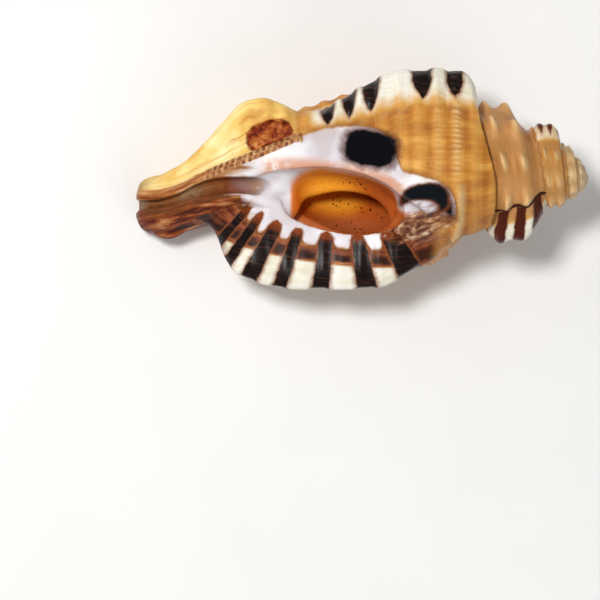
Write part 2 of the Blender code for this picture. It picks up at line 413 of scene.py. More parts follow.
@dataclass(frozen=True)
class SpireSculpture:
    """What stands out on the whorls above the last.

    Attributes:
        varices: Growth angles of the crests, in degrees back from the lip.
        varix_height: Their height over the suture's distance.
        older_deg: Reach of the older slope.
        younger_deg: Reach of the younger slope.
        knobs_per_turn: Knobs on each keel in a turn.
        knob_phase: Share of their spacing by which they are moved.
        largest_mm: Distance of the suture past which keels no longer grow.
        keel_places: Shares of the whorl at which the keels run.
        keel_heights: Their heights over the suture's distance.
        keel_widths: Their half widths, as shares of the whorl.
        keel_share: Share of that height left between two knobs.
        knob_share: Share that a knob adds.
        knob_power: How pointed the knobs are.
        knobs_from: Turn from which back the knobs are full.
        bar_lean_deg: Turn by which a varix leans across the whorl.
        threads: Number of spiral threads on a whorl.
        thread_height: Their height over the suture's distance.
        slope_share: Share of the growth in radius that is even; the rest is the step at the suture.
        belly_power: How full a varix is near the sutures.
        edge_groove: Depth of the groove at the edge of an old lip.
        fold_mm: Height of the fold by which the lip's upper end is joined on.
        fold_reach_mm: How far the fold spreads over the whorl before.
        shoulder: Turn, half turn, distance, half length and height of the one large knob at the suture.
    """

    varices: tuple[float, ...] = (-483.0, -735.0, -958.0, -1190.0)
    varix_height: float = 0.46
    older_deg: float = 26.0
    younger_deg: float = 30.0
    knobs_per_turn: float = 8.4
    knob_phase: float = 0.237
    largest_mm: float = 14.0
    keel_places: tuple[float, float] = (0.36, 0.76)
    keel_heights: tuple[float, float] = (0.12, 0.14)
    keel_widths: tuple[float, float] = (0.12, 0.11)
    keel_share: float = 0.20
    knob_share: float = 1.60
    knob_power: float = 1.4
    knobs_from: float = -1.2
    bar_lean_deg: float = 14.0
    threads: float = 9.0
    thread_height: float = 0.004
    slope_share: float = 0.40
    belly_power: float = 0.35
    edge_groove: float = 0.06
    fold_mm: float = 4.6
    fold_reach_mm: float = 3.4
    shoulder: tuple[float, ...] = (-1.56, 0.08, 24.2, 3.2, 2.4)

    def gaps(self, spot: Spot) -> list[Values]:
        """Measure the place of points on each varix.

        Args:
            spot: The points.

        Returns:
            For each varix, -1 at the older foot, 0 at the crest and 1 at the younger foot.
        """
        found = []
        for crest in self.varices:
            lean = self.bar_lean_deg * (0.5 - spot.across)
            gap = spot.turns * 360.0 - crest - lean
            found.append(gap / np.where(gap < 0, self.older_deg, self.younger_deg))
        return found

    def knobs(self, spot: Spot) -> Values:
        """Give 1 on top of a knob and 0 between two."""
        wave = 0.5 + 0.5 * np.cos(math.tau * (spot.turns * self.knobs_per_turn + self.knob_phase))
        return wave ** self.knob_power * ease((self.knobs_from - spot.turns) / 0.3)

    def keels(self, spot: Spot) -> Values:
        """Say how high the keels stand, with their knobs.

        Args:
            spot: The points.

        Returns:
            Height over the suture's distance.
        """
        stations = zip(self.keel_places, self.keel_heights, self.keel_widths)
        runs = sum(height * bump_at(spot.across, place, width) for place, height, width in stations)
        return runs * (self.keel_share + self.knob_share * self.knobs(spot))

    def radius(self, spot: Spot, suture: Suture) -> Values:
        """Shape the whorls above the last.

        Args:
            spot: The points.
            suture: The spiral.

        Returns:
            The radius of the outer surface.
        """
        across, start, end = spot.across, spot.start, spot.end
        low, high = suture.radius.at(start), suture.radius.at(end)
        threads = self.thread_height * np.cos(math.tau * across * self.threads)
        belly = np.sin(math.pi * across) ** self.belly_power
        varix = sum(ease(1.0 - np.abs(gap)) for gap in self.gaps(spot))
        groove = sum(bump_at(gap, 1.0, 0.09) for gap in self.gaps(spot))
        step = ease(across / (0.30 - 0.16 * ease((-spot.turns - 2.1) / 0.3)))
        fold = bump_at(spot.distance, end, self.fold_reach_mm) * ease((spot.turns + 1.22) / 0.12)
        at, half_turn, distance, half_length, height = self.shoulder
        shoulder = height * bump_at(spot.turns, at, half_turn) * bump_at(spot.distance, distance, half_length)
        relief = self.keels(spot) * (1 - 0.6 * np.clip(varix, 0, 1)) + threads
        return (low + (high - low) * (self.slope_share * across + (1 - self.slope_share) * step) + shoulder
                + np.minimum(start, self.largest_mm) * relief + self.fold_mm * fold
                + start * (self.varix_height * varix * belly - self.edge_groove * groove * belly))


@dataclass(frozen=True)
class Cords:
    """Spiral cords on the last whorl.

    Attributes:
        first_mm: Distance of one crest.
        pitch_mm: Distance between crests.
        face_mm: Their height on the side of the mouth.
        back_mm: Their height on the back.
        bead_rows: Distance of each cord that carries beads, and their strength there.
        bead_mm: Height of the beads.
        bead_pitch_mm: Distance between beads.
        bead_circle_mm: Radius of the whorl where they run.
        crest_power: How narrow the crests are against the furrows.
    """

    first_mm: float = 36.0
    pitch_mm: float = 4.9
    face_mm: float = 0.28
    back_mm: float = 0.75
    bead_rows: tuple[Point2, ...] = ((36.0, 1.0), (40.9, 0.4))
    bead_mm: float = 0.34
    bead_pitch_mm: float = 1.5
    bead_circle_mm: float = 21.0
    crest_power: float = 1.4

    def crest(self, distance: Values) -> Values:
        """Give 1 on a cord's crest and 0 in a furrow."""
        wave = 0.5 + 0.5 * np.cos(math.tau * (distance - self.first_mm) / self.pitch_mm)
        return wave ** self.crest_power

    def beads(self, spot: Spot) -> Values:
        """Say how near a bead a point is.

        Args:
            spot: The points.

        Returns:
            1 on a bead and 0 away from them.
        """
        along = np.radians(spot.turn_deg) * self.bead_circle_mm
        wave = (0.5 + 0.5 * np.cos(math.tau * along / self.bead_pitch_mm)) ** 1.5
        rows = sum(share * bump_at(spot.distance, row, 1.0) for row, share in self.bead_rows)
        facing = ease(turn_gap(spot.turn_deg, 10.0) / 30.0)
        facing = facing * ease((112.0 - spot.turn_deg) / 30.0)
        return wave * rows * facing * spot.last


@dataclass(frozen=True)
class LastWhorl:
    """The last whorl, with its two varices, knobs and cords.

    Attributes:
        back: Profile of the side away from the mouth.
        front: Profile of the mouth's side.
        left_varix: The varix two thirds of a turn before the lip.
        lip_varix: The varix behind the lip.
        cords: Its spiral cords.
        knobs: Growth angle and height of each knob on the shoulder.
        knob_distance: Their distance.
        knob_half_length: Their half length along the axis.
        knob_half_deg: Their half width round it.
        belly_growth: How much the belly grows over the last half turn.
        flute_mm: Height of the flutes that run down from a varix.
        front_deg: Turn at the middle of the mouth's side.
        fan_middle: Distance at which the lip's bars stand upright.
        fan_level: Y of the line along which they are spaced.
        fan_focus: Y of the point they fan out from, towards the spire and towards the canal.
        fan_nearest: Least Y below that point at which the fan still holds.
        ribs_from: Distance at which the ribs between the bars start.
        ribs_to: Distance at which they end.
    """

    back: Profile = Profile((
        (24, 17.0), (31, 19.5), (38, 23.0), (45, 25.0), (54, 24.6), (64, 22.6), (74, 19.0), (84, 15.0),
        (94, 12.0), (104, 10.0), (112, 8.6), (118, 7.0), (120, 5.0)))
    front: Profile = Profile((
        (24, 15.5), (28, 18.0), (36, 20.6), (44, 21.0), (52, 19.0), (60, 16.2), (70, 13.4), (80, 11.6),
        (90, 10.0), (104, 8.5), (112, 8.0), (118, 6.8), (120, 5.0)))
    left_varix: Varix = Varix(22.0, 26.0, 20.0, Profile((
        (24, 17.0), (29, 21.0), (32, 26.5), (38, 28.5), (45, 28.6), (52, 27.6), (58, 25.2), (64, 21.5),
        (71, 17.2), (76, 16.4), (81, 18.8), (87, 20.7), (92, 20.4), (97, 17.0), (102, 13.5), (107, 10.6),
        (112, 9.0), (120, 5.0))),
        Bars((36.4, 45.0, 58.3, 64.0, 69.6), (4.2, 5.0, 4.2, 3.2, 3.4), 0.7, 0.60))
    lip_varix: Varix = Varix(168.0, 34.0, 15.0, Profile((
        (24, 17.0), (37, 20.0), (41, 23.5), (47, 27.2), (54, 31.0), (62, 32.0), (74, 32.0), (83, 31.4),
        (88, 29.6), (93, 26.0), (96, 21.0), (99, 12.0), (102, 8.8), (106, 8.8), (110, 9.6), (114.4, 8.3),
        (118, 4.8), (120, 3.0))),
        Bars((50.6, 61.0, 70.4, 79.3, 87.0, 94.4, 101.0), (6.4, 3.9, 3.7, 3.1, 4.3, 3.2, 3.4), 0.5, 0.9))
    cords: Cords = Cords()
    knobs: tuple[Point2, ...] = ((-52.0, 2.6), (-97.0, 5.2), (-144.0, 5.6))
    knob_distance: float = 43.0
    knob_half_length: float = 8.0
    knob_half_deg: float = 14.0
    belly_growth: float = 0.16
    flute_mm: float = 0.9
    front_deg: float = 100.0
    fan_middle: float = 66.0
    fan_level: float = -21.7
    fan_focus: Point2 = (5.0, 18.5)
    fan_nearest: float = -8.0
    ribs_from: float = 32.0
    ribs_to: float = 98.0

    def slant(self, spot: Spot) -> Values:
        """Move distances so that the lip's bars fan out.

        Args:
            spot: The points.

        Returns:
            Distance at which the point's bar crosses the lip's middle.
        """
        x, y, _ = spot.home.T
        focus = np.where(-x > self.fan_middle, self.fan_focus[1], self.fan_focus[0])
        spread = (self.fan_level - focus) / np.minimum(y - focus, self.fan_nearest)
        return self.fan_middle + (-x - self.fan_middle) * spread

    def facing(self, spot: Spot) -> Values:
        """Give 1 on the side of the mouth and 0 behind."""
        return ease((0.5 + 0.5 * np.cos(np.radians(spot.turn_deg - self.front_deg))) * 1.5 - 0.25)

    def radius(self, spot: Spot, smooth_share: Values) -> Values:
        """Shape the last whorl.

        Args:
            spot: The points.
            smooth_share: 1 where callus covers the cords.

        Returns:
            The radius of the outer surface.
        """
        distance, facing = spot.distance, self.facing(spot)
        back_share = np.clip((360.0 - spot.turn_deg) / 160.0, 0.0, 1.0)
        belly = 1.0 - self.belly_growth * (1.0 - back_share) * ease((distance - 40.0) / 20.0)
        radius = self.back.at(distance) * belly * (1 - facing) + self.front.at(distance) * facing
        near = np.zeros_like(radius)
        for varix, place in ((self.left_varix, distance), (self.lip_varix, self.slant(spot))):
            close = varix.closeness(spot)
            radius = radius + close * (varix.profile.at(distance) - radius)
            furrow = ease(0.5 + 0.6 * varix.bars.depth(place, 1.0))
            reach = ease((distance - self.ribs_from) / 6.0)
            reach = reach * ease((self.ribs_to - distance) / 6.0)
            radius = radius - varix.bars.rib_mm * furrow * reach * ease(2.5 * close)
            near = np.maximum(near, close)
        for growth_deg, height in self.knobs:
            radius = radius + height * (bump_at(distance, self.knob_distance, self.knob_half_length)
                                        * bump_at(turn_gap(spot.turn_deg, 150.0 - growth_deg), 0.0,
                                                  self.knob_half_deg))
        height = self.cords.face_mm * facing + self.cords.back_mm * (1 - facing)
        flute = self.flute_mm * 4 * near * (1 - near) * (self.left_varix.gap(spot) > 0)
        fade = (1 - smooth_share) * ease((104.0 - distance) / 14.0)
        radius = radius + (height * (1 - near) + flute) * fade * self.cords.crest(distance)
        radius = radius + self.cords.bead_mm * self.cords.beads(spot) * (1 - smooth_share)
        return radius


@dataclass(frozen=True)
class Mouth:
    """The aperture: a white funnel, the throat below it and the hollow that runs back round the whorl.

    Attributes:
        rim: Outline at the teeth of the lip.
        rim_height: Z at which the funnel's wall turns in.
        rim_depth: Depth of the funnel below it.
        throat: Outline of the throat.
        throat_height: Z at which the throat's wall turns in.
        throat_depth: Depth of the throat below it.
        tunnel: Turn, distance, half length and inner radius of the hollow behind.
        tunnel_ends_deg: Turn over which the hollow closes at its start and at its end.
        lip_wall: Farthest the hollow reaches out against turn, which keeps the lip thick.
        wall_mm: Thickness of the wall outside the hollow.
        scallop_mm: How far the enamel runs out between two teeth.
        notch: Outline of the small notch at the mouth's upper corner.
        notch_height: Z at which the notch's wall turns in.
        notch_depth: Depth of the notch below it.
    """

    rim: Oval = Oval((70.2, -8.6), 20.5, 8.0, 8.0, 2.3)
    rim_height: float = 10.0
    rim_depth: float = 6.5
    throat: Oval = Oval((65.2, -8.0), 13.6, 7.5, 14.0, 2.2)
    throat_height: float = 5.5
    throat_depth: float = 8.5
    tunnel: Trail = Trail((
        (152.0, 66.0, 12.5, 7.2), (180.0, 65.5, 14.0, 6.6), (220.0, 63.0, 13.5, 6.4),
        (260.0, 59.0, 12.0, 6.8), (300.0, 54.5, 10.0, 7.8), (330.0, 51.5, 8.0, 9.4)))
    tunnel_ends_deg: Point2 = (12.0, 20.0)
    lip_wall: Profile = Profile(((150.0, 13.0), (158.0, 14.5), (165.0, 21.0), (172.0, 30.0), (180.0, 42.0)))
    wall_mm: float = 3.0
    scallop_mm: float = 3.2
    notch: Oval = Oval((48.0, -10.6), 4.5, 1.8, 24.0)
    notch_height: float = 13.8
    notch_depth: float = 1.2

    @staticmethod
    def bowl(oval: Oval, home: Values, height: float, depth: float) -> Values:
        """Give the field of an upright shaft with a round floor.

        Args:
            oval: Outline of the shaft.
            home: Points of the shell frame.
            height: Z at which the walls turn in.
            depth: How far the floor lies below that.

        Returns:
            Signed millimetres, negative inside.
        """
        below = np.minimum(home[:, 2] - height, 0.0) / depth
        out = np.hypot(oval.ratio(-home[:, 0], home[:, 1]), below)
        return (out - 1.0) * min(oval.half_length, oval.half_width)

    def hollow(self, spot: Spot, outer: Values) -> Values:
        """Give the field of everything the mouth takes out.

        Args:
            spot: The points.
            outer: Radius of the outer surface above each point.

        Returns:
            Signed millimetres, negative in the hollow.
        """
        funnel = self.bowl(self.rim, spot.home, self.rim_height, self.rim_depth)
        throat = self.bowl(self.throat, spot.home, self.throat_height, self.throat_depth)
        notch = self.bowl(self.notch, spot.home, self.notch_height, self.notch_depth)
        found = smooth_min(smooth_min(funnel, throat, 3.0), notch, 2.0)
        turn = spot.turn_deg
        distance, half_length, inner = self.tunnel.at(turn)
        roof = np.minimum(outer - self.wall_mm, self.lip_wall.at(turn))
        middle, half = (roof + inner) / 2, np.maximum((roof - inner) / 2, 1.0)
        start, end = self.tunnel.stations[0][0], self.tunnel.stations[-1][0]
        opening, closing = self.tunnel_ends_deg
        past_end = np.maximum(turn - (end - closing), 0.0) / closing
        past_start = np.maximum(start - turn, 0.0) / opening
        out = np.sqrt(((spot.distance - distance) / half_length) ** 2 + ((spot.radius - middle) / half) ** 2
                      + past_end ** 2 + past_start ** 2)
        tunnel = np.maximum((out - 1.0) * np.minimum(half, half_length), -6.0)
        return smooth_min(found, tunnel, 2.0)


@dataclass(frozen=True)
class Callus:
    """The glazed enamel laid over the whorl beside the mouth.

    Attributes:
        upper_edge: Y of its upper edge against distance.
        lower_edge: Y of its lower edge, in the mouth and in the canal's groove.
        end_mm: Distance of its end beside the spire.
        height_mm: How far it stands above the whorl.
        ridge: Distance and Y of the ridge along its edge on the canal.
        ridge_height_mm: Height of that ridge.
        ridge_half_mm: Its half width.
        ridge_from: Distance at which it starts.
    """

    upper_edge: Profile = Profile((
        (30, -14.0), (36, -11.0), (37, -7.6), (40.5, -4.0), (47.3, -1.6), (50.8, 0.2), (52.2, 4.2),
        (54.6, 8.6), (59, 11.0), (66, 11.2), (73, 10.0), (78.5, 8.0), (84.4, 4.8), (92, 1.8),
        (98, -0.4), (104, -3.0), (110, -5.8), (116, -7.2), (122, -7.6)))
    lower_edge: Profile = Profile((
        (30, -12.0), (50, -12.5), (60, -9.5), (70, -8.5), (80, -6.5), (92, -3.0), (98, -3.1), (104, -4.3),
        (109, -6.6), (114, -7.9), (122, -8.3)))
    end_mm: float = 36.5
    height_mm: float = 0.55
    ridge: Profile = Profile((
        (78.0, 8.4), (81.3, 7.1), (84.4, 5.7), (92.0, 2.7), (95.8, 1.3), (104.2, -2.3), (110.0, -5.0),
        (121.0, -6.8)))
    ridge_height_mm: float = 0.9
    ridge_half_mm: float = 1.15
    ridge_from: float = 76.0

    def inside(self, spot: Spot) -> Values:
        """Measure the depth inside the callus.

        Args:
            spot: The points.

        Returns:
            Millimetres inside its edge, negative outside.
        """
        x, y, z = spot.home.T
        sides = np.minimum(self.upper_edge.at(-x) - y, y - self.lower_edge.at(-x)) * 0.85
        return np.minimum(np.minimum(sides, -x - self.end_mm), z + 1.0)

    def ridge_gap(self, spot: Spot) -> Values:
        """Measure how far a point is from the ridge's crest.

        Args:
            spot: The points.

        Returns:
            Signed millimetres across the ridge, large away from it.
        """
        x, y, z = spot.home.T
        gap = (y - self.ridge.at(-x)) * 0.92
        return np.where((z > -2.0) & (-x > self.ridge_from), gap, 50.0)


@dataclass(frozen=True)
class ShellForm:
    """The whole shell as one signed field.

    Attributes:
        suture: The spiral.
        axis: The line it is wound on.
        canal: The groove of the siphonal canal.
        spire: Sculpture of the whorls above the last.
        whorl: The last whorl.
        mouth: The aperture.
        callus: The enamel beside it.
        chink: Outline of the hollow between the hump and the ridge.
        chink_depth: Its depth.
        seam: Distance against Y of the low fold where the lip joins the body.
        seam_height: Height of that fold.
        seam_half_mm: Its half width.
        length_mm: Distance to the canal's end.
        tip_mm: Length over which the two ends are rounded.
        tail_taper: Share of the radius that the canal's end loses over that length.
        slope: Share of the radial distance that is about the distance to the surface.
    """

    suture: Suture = Suture()
    axis: Axis = Axis()
    canal: Canal = Canal()
    spire: SpireSculpture = SpireSculpture()
    whorl: LastWhorl = LastWhorl()
    mouth: Mouth = Mouth()
    callus: Callus = Callus()
    chink: Oval = Oval((84.8, 9.0), 6.4, 4.1, -16.0, 2.4)
    chink_depth: float = 2.2
    seam: Profile = Profile(((-19.0, 36.5), (-15.0, 35.3), (-10.0, 35.0), (-4.0, 35.0)))
    seam_height: float = 0.9
    seam_half_mm: float = 0.9
    length_mm: float = 120.0
    tip_mm: float = 1.2
    tail_taper: float = 0.35
    slope: float = 0.85

    def spot(self, home: Values) -> Spot:
        """Find the places of points in the spiral."""
        return Spot.read(home, self.suture, self.axis)

    def on_seam(self, spot: Spot) -> Values:
        """Say how near the fold beside the lip's upper end a point is.

        Args:
            spot: The points.

        Returns:
            1 on the fold and 0 away from it.
        """
        y, z = spot.home[:, 1], spot.home[:, 2]
        ends = ease((-3.0 - y) / 4.0) * ease(z / 3.0)
        return bump_at(spot.distance - self.seam.at(y), 0.0, self.seam_half_mm) * ends

    def outer_radius(self, spot: Spot, bare: bool = False) -> Values:
        """Shape the outer surface, callus and ridge included.

        Args:
            spot: The points.
            bare: True to leave out the cords.

        Returns:
            Its radius.
        """
        callus = self.callus.inside(spot)
        covered = np.ones_like(callus) if bare else ease((callus + 0.4) / 0.8) * spot.last
        last = self.whorl.radius(spot, covered)
        front = ease((spot.home[:, 2] - 1.0) / 3.0) * spot.last
        last = last + self.callus.height_mm * ease((callus + 0.3) / 0.6) * front
        gap = self.callus.ridge_gap(spot)
        last = last + self.callus.ridge_height_mm * bump_at(gap, 0.0, self.callus.ridge_half_mm) * front
        chink = ease(self.chink.inside(spot.distance, spot.home[:, 1]) / 1.0) * front
        last = last - self.chink_depth * chink * ease((gap - 0.6) / 1.2)
        last = last + self.seam_height * self.on_seam(spot)
        radius = np.where(spot.last, last, self.spire.radius(spot, self.suture))
        nose = np.clip(1.0 - spot.distance / self.tip_mm, 0.0, 1.0)
        tail = np.clip((spot.distance - self.length_mm + self.tip_mm) / self.tip_mm, 0.0, 1.0)
        return radius * np.sqrt(np.clip(1.0 - nose ** 2, 0.0, 1.0)) * (1.0 - self.tail_taper * tail ** 2)

    def field(self, home: Values) -> Values:
        """Give the signed field of the shell.

        Args:
            home: Points of the shell frame.

        Returns:
            About millimetres from the surface, negative inside.
        """
        spot = self.spot(home)
        radius = self.outer_radius(spot)
        solid = (spot.radius - radius) * self.slope
        solid = np.maximum(solid, np.maximum(-spot.distance, spot.distance - self.length_mm))
        hollow = self.mouth.hollow(spot, self.outer_radius(spot, bare=True))
        hollow = smooth_min(hollow, self.canal.hollow(home), 1.2)
        return smooth_max(solid, -hollow, 1.0)


# ---- from field to mesh

@dataclass
class SkinMaker:
    """Draws a skin of four-sided faces over the zero surface of a field.

    Attributes:
        form: The shell.
        step_mm: Size of the faces.
        low: Lowest corner of the box that holds the shell.
        high: Highest corner.
        coarse: Steps in one coarse step, with which the surface is found first.
        margin: Coarse steps on each side of the surface that are read closely.
        batch: Points read at once.
        reach_mm: Distance over which the slope of the field is measured.
    """

    form: ShellForm
    step_mm: float
    low: Point3 = (-122.0, -34.0, -31.0)
    high: Point3 = (2.0, 32.0, 27.0)
    coarse: int = 4
    margin: float = 1.6
    batch: int = 200_000
    reach_mm: float = 0.04

    def sample(self) -> Values:
        """Read the field on a grid, closely only near the surface.

        Returns:
            The grid of values.
        """
        low, high = np.array(self.low), np.array(self.high)
        block = self.step_mm * self.coarse
        shape = np.ceil((high - low) / block).astype(int) + 1
        grid = np.stack(np.meshgrid(*[np.arange(n) for n in shape], indexing="ij"), axis=-1)
        rough = self.form.field(low + (grid.reshape(-1, 3) + 0.5 - 0.5 / self.coarse) * block).reshape(shape)
        near = np.abs(rough) < block * self.margin
        for axis in range(3):
            changed = np.diff(np.sign(rough), axis=axis) != 0
            first, second = [slice(None)] * 3, [slice(None)] * 3
            first[axis], second[axis] = slice(0, -1), slice(1, None)
            near[tuple(first)] |= changed
            near[tuple(second)] |= changed
        fine = rough
        for axis in range(3):
            fine = np.repeat(fine, self.coarse, axis=axis)
            near = np.repeat(near, self.coarse, axis=axis)
        where = np.argwhere(near)
        fine[near] = np.concatenate([self.form.field(low + part * self.step_mm)
                                     for part in np.array_split(where, max(1, len(where) // self.batch))])
        return fine

    def net(self, values: Values) -> tuple[Values, Values]:
        """Put a vertex in each cell that the surface crosses, and join neighbours.

        Args:
            values: The grid of field values.

        Returns:
            Vertices in millimetres and faces of four vertices.
        """
        inside = values < 0
        corners = np.array([(x, y, z) for x in (0, 1) for y in (0, 1) for z in (0, 1)])
        size = np.array(values.shape) - 1
        count = np.zeros(size, np.int8)
        for x, y, z in corners:
            count += inside[x:x + size[0], y:y + size[1], z:z + size[2]]
        cells = np.argwhere((count > 0) & (count < 8))
        number = np.full(size, -1, np.int64)
        number[tuple(cells.T)] = np.arange(len(cells))
        total, crossings = np.zeros((len(cells), 3)), np.zeros(len(cells))
        for a, first in enumerate(corners):
            for second in corners[a + 1:]:
                if np.abs(second - first).sum() != 1:
                    continue
                start = values[tuple((cells + first).T)]
                end = values[tuple((cells + second).T)]
                crossed = (start < 0) != (end < 0)
                share = np.where(crossed, start / np.where(crossed, start - end, 1.0), 0.0)
                total += crossed[:, None] * (first + share[:, None] * (second - first))
                crossings += crossed
        points = np.array(self.low) + (cells + total / crossings[:, None]) * self.step_mm
        faces = []
        for axis in range(3):
            one, two = (axis + 1) % 3, (axis + 2) % 3
            first, second = [slice(1, -1)] * 3, [slice(1, -1)] * 3
            first[axis], second[axis] = slice(0, -1), slice(1, None)
            changed = np.argwhere(inside[tuple(first)] != inside[tuple(second)])
            changed += np.array([0 if a == axis else 1 for a in range(3)])
            around = []
            for back_one, back_two in ((1, 1), (0, 1), (0, 0), (1, 0)):
                cell = changed.copy()
                cell[:, one] -= back_one
                cell[:, two] -= back_two
                around.append(number[tuple(cell.T)])
            quads = np.stack(around, axis=1)
            outward = inside[tuple(changed.T)]
            faces.append(np.where(outward[:, None], quads, quads[:, ::-1]))
        return points, np.concatenate(faces)

    def settle(self, points: Values, rounds: int = 2) -> Values:
        """Move vertices along the slope of the field onto the surface.

        Args:
            points: The vertices.
            rounds: How often to move them.

        Returns:
            The moved vertices.
        """
        reach = self.reach_mm
        for _ in range(rounds):
            value = self.form.field(points)
            ways = np.eye(3) * reach
            rise = [self.form.field(points + way) - self.form.field(points - way) for way in ways]
            slope = np.stack(rise, axis=1) / (2 * reach)
            move = value[:, None] * slope / np.maximum((slope ** 2).sum(axis=1), 0.2)[:, None]
            length = np.linalg.norm(move, axis=1)[:, None]
            points = points - move * np.minimum(1.0, 0.5 * self.step_mm / np.maximum(length, 1e-9))
        return points

    def skin(self) -> tuple[Values, Values]:
        """Draw the skin: vertices in millimetres and faces of four vertices."""
        points, faces = self.net(self.sample())
        return self.settle(points), faces


# ---- what each point of the skin is

@dataclass(frozen=True)
class Markings:
    """Places of the colour markings, as masks and depths that the material reads.

    Attributes:
        form: The shell.
        ink: Outline of the dark blotch on the callus.
        notch_ink: Outer outline of the dark crescent in the mouth's upper corner.
        notch_shine: Outline of the pale enamel inside it.
        corner_ink: Outline of the dark streak beside it.
        mottle: Outline of the brown mottling at the lip's upper end.
        throat_painted_light: Outline of the painted light in the throat, which stands for light falling
            through its thin far wall and lifts the shade under the overhang.
        speckled: Outline of the part of the throat with the most dark specks.
        step_side_mm: How much further down the shell each point is read.
        spire_bars: Places of the bars on a varix of the spire, as shares of the whorl.
        spire_bar_half: Their half width, as a share of the whorl.
        pale_turns: Turn before which bars shrink to spots and the cream is fainter.
        spire_bars_from: Turn before which the spire has no bars.
        block_out: Distance out from the teeth at which the lip's white blocks start.
        lip_cream_from: Distance at which the lip's cream starts.
        left_cream_to: Distance at which the left varix has lost its cream.
        rust_from: Distance at which the rusty band starts.
        scallops: Distances at which the scallops of the enamel start and end.
        throat_to: Distance at which the throat's colour ends.
        throat_wall_mm: Depth under the outer surface past which all of the hollow is throat.
        blush: Distances at which the tinge above the throat starts and ends.
        blush_out: Distance out from the teeth at which it is strongest.
        blush_half: Its half width.
        canal_from: Distance at which the canal's enamel and its bank start.
        groove_half: Half width of the enamel in its groove.
        low_wall_from: Distance at which its dark lower wall starts.
        low_wall_sweep: How much later that wall starts on its low side.
        hump_from: Distance at which the hump's colour starts.
        hump_turns: Turn of the hump's middle and its half reach, in degrees.
        circle_mm: Radius of the last whorl along which growth lines are spaced.
    """

    form: ShellForm
    ink: Oval = Oval((58.1, 5.3), 6.6, 4.5, 12.0, 3.2)
    notch_ink: Oval = Oval((43.9, -8.1), 6.2, 4.0, -6.0, 2.3)
    notch_shine: Oval = Oval((45.6, -10.9), 6.2, 3.2, -4.0, 2.0)
    corner_ink: Oval = Oval((38.2, -9.6), 1.1, 2.6, -20.0, 2.0)
    mottle: Oval = Oval((45.6, -14.7), 8.0, 4.0, -22.0, 2.0)
    throat_painted_light: Oval = Oval((67.8, -6.0), 10.0, 6.2, 12.0, 2.0)
    speckled: Oval = Oval((60.5, -8.6), 7.0, 4.6, -35.0, 2.0)
    step_side_mm: float = 0.5
    spire_bars: tuple[float, ...] = (0.16, 0.48, 0.80)
    spire_bar_half: float = 0.088
    pale_turns: float = -2.2
    spire_bars_from: float = -2.9
    block_out: float = 7.2
    lip_cream_from: float = 46.0
    left_cream_to: float = 78.0
    rust_from: float = 38.5
    scallops: Point2 = (50.0, 95.0)
    throat_to: float = 79.5
    throat_wall_mm: float = 9.0
    blush: Point2 = (47.0, 90.0)
    blush_out: float = 0.6
    blush_half: float = 3.6
    canal_from: float = 84.0
    groove_half: float = 2.6
    low_wall_from: float = 88.5
    low_wall_sweep: float = 7.0
    hump_from: float = 76.0
    hump_turns: Point2 = (30.0, 70.0)
    circle_mm: float = 22.0

    def lip_out(self, spot: Spot) -> Values:
        """Measure how far out on the lip a point is from the line of the teeth, negative in the mouth."""
        x, y, _ = spot.home.T
        return -self.form.mouth.rim.inside(-x, y)

    def tooth(self, spot: Spot) -> Values:
        """Give 1 along each tooth and 0 between two."""
        gap = -self.form.whorl.lip_varix.bars.depth(self.form.whorl.slant(spot), 1.0)
        return 1.0 - np.sqrt(1.0 - (1.0 - np.clip(gap / 1.6, 0.0, 1.0)) ** 2)

    def bars(self, spot: Spot) -> Values:
        """Measure the depth inside the dark bars of all varices.

        Args:
            spot: The points.

        Returns:
            Millimetres inside a bar, negative outside.
        """
        whorl, out = self.form.whorl, self.lip_out(spot)
        gap, bars = whorl.lip_varix.gap(spot), whorl.lip_varix.bars
        front = (gap > -1.3) & (gap < 1.0) & (out > -0.8)
        taper = np.where(gap < 0, np.clip((out + 0.6) / 1.6, 0.0, 1.0) ** 0.5,
                         1.0 - np.clip(gap / bars.flame, 0.0, 2.0) ** 2)
        found = np.where(front & spot.last, bars.depth(whorl.slant(spot), taper), -9.0)
        gap, bars = whorl.left_varix.gap(spot), whorl.left_varix.bars
        taper = 1.0 - np.clip(np.abs(gap) / bars.flame, 0.0, 2.0) ** 4
        found = np.where((np.abs(gap) < 1.0) & spot.last, bars.depth(spot.distance, taper), found)
        whorl_mm = spot.end - spot.start
        near = np.min([np.abs(spot.across - place) * whorl_mm for place in self.spire_bars], axis=0)
        for gap in self.form.spire.gaps(spot):
            spots = 1.0 - np.clip(np.abs(gap - 0.1) / 0.42, 0.0, 2.0) ** 2
            stripes = np.where(gap < 0, 1.0 - np.clip(-gap / 0.8, 0.0, 2.0) ** 3, 1.0)
            taper = np.where(spot.turns < self.pale_turns, spots, stripes)
            here = (np.abs(gap) < 0.97) & ~spot.last & (spot.turns > self.spire_bars_from)
            found = np.where(here, whorl_mm * self.spire_bar_half * taper - near, found)
        return found

    def enamel(self, spot: Spot, hollow: Values, scallop: Values) -> Values:
        """Measure the depth inside the enamel of the callus, the lip and the groove.

        Args:
            spot: The points.
            hollow: Field of the mouth's hollow.
            scallop: How far the enamel runs out on the lip.

        Returns:
            Millimetres inside it, negative outside.
        """
        y, z = spot.home[:, 1], spot.home[:, 2]
        lip = np.where((z > 0.0) | (hollow < 1.5), scallop - self.lip_out(spot), -5.0)
        groove = self.groove_half - np.abs(y - self.form.canal.groove.at(spot.distance)[0])
        groove = np.where((spot.distance > self.canal_from) & (z > 0.0), groove, -5.0)
        return np.maximum(np.maximum(self.form.callus.inside(spot), lip), groove)

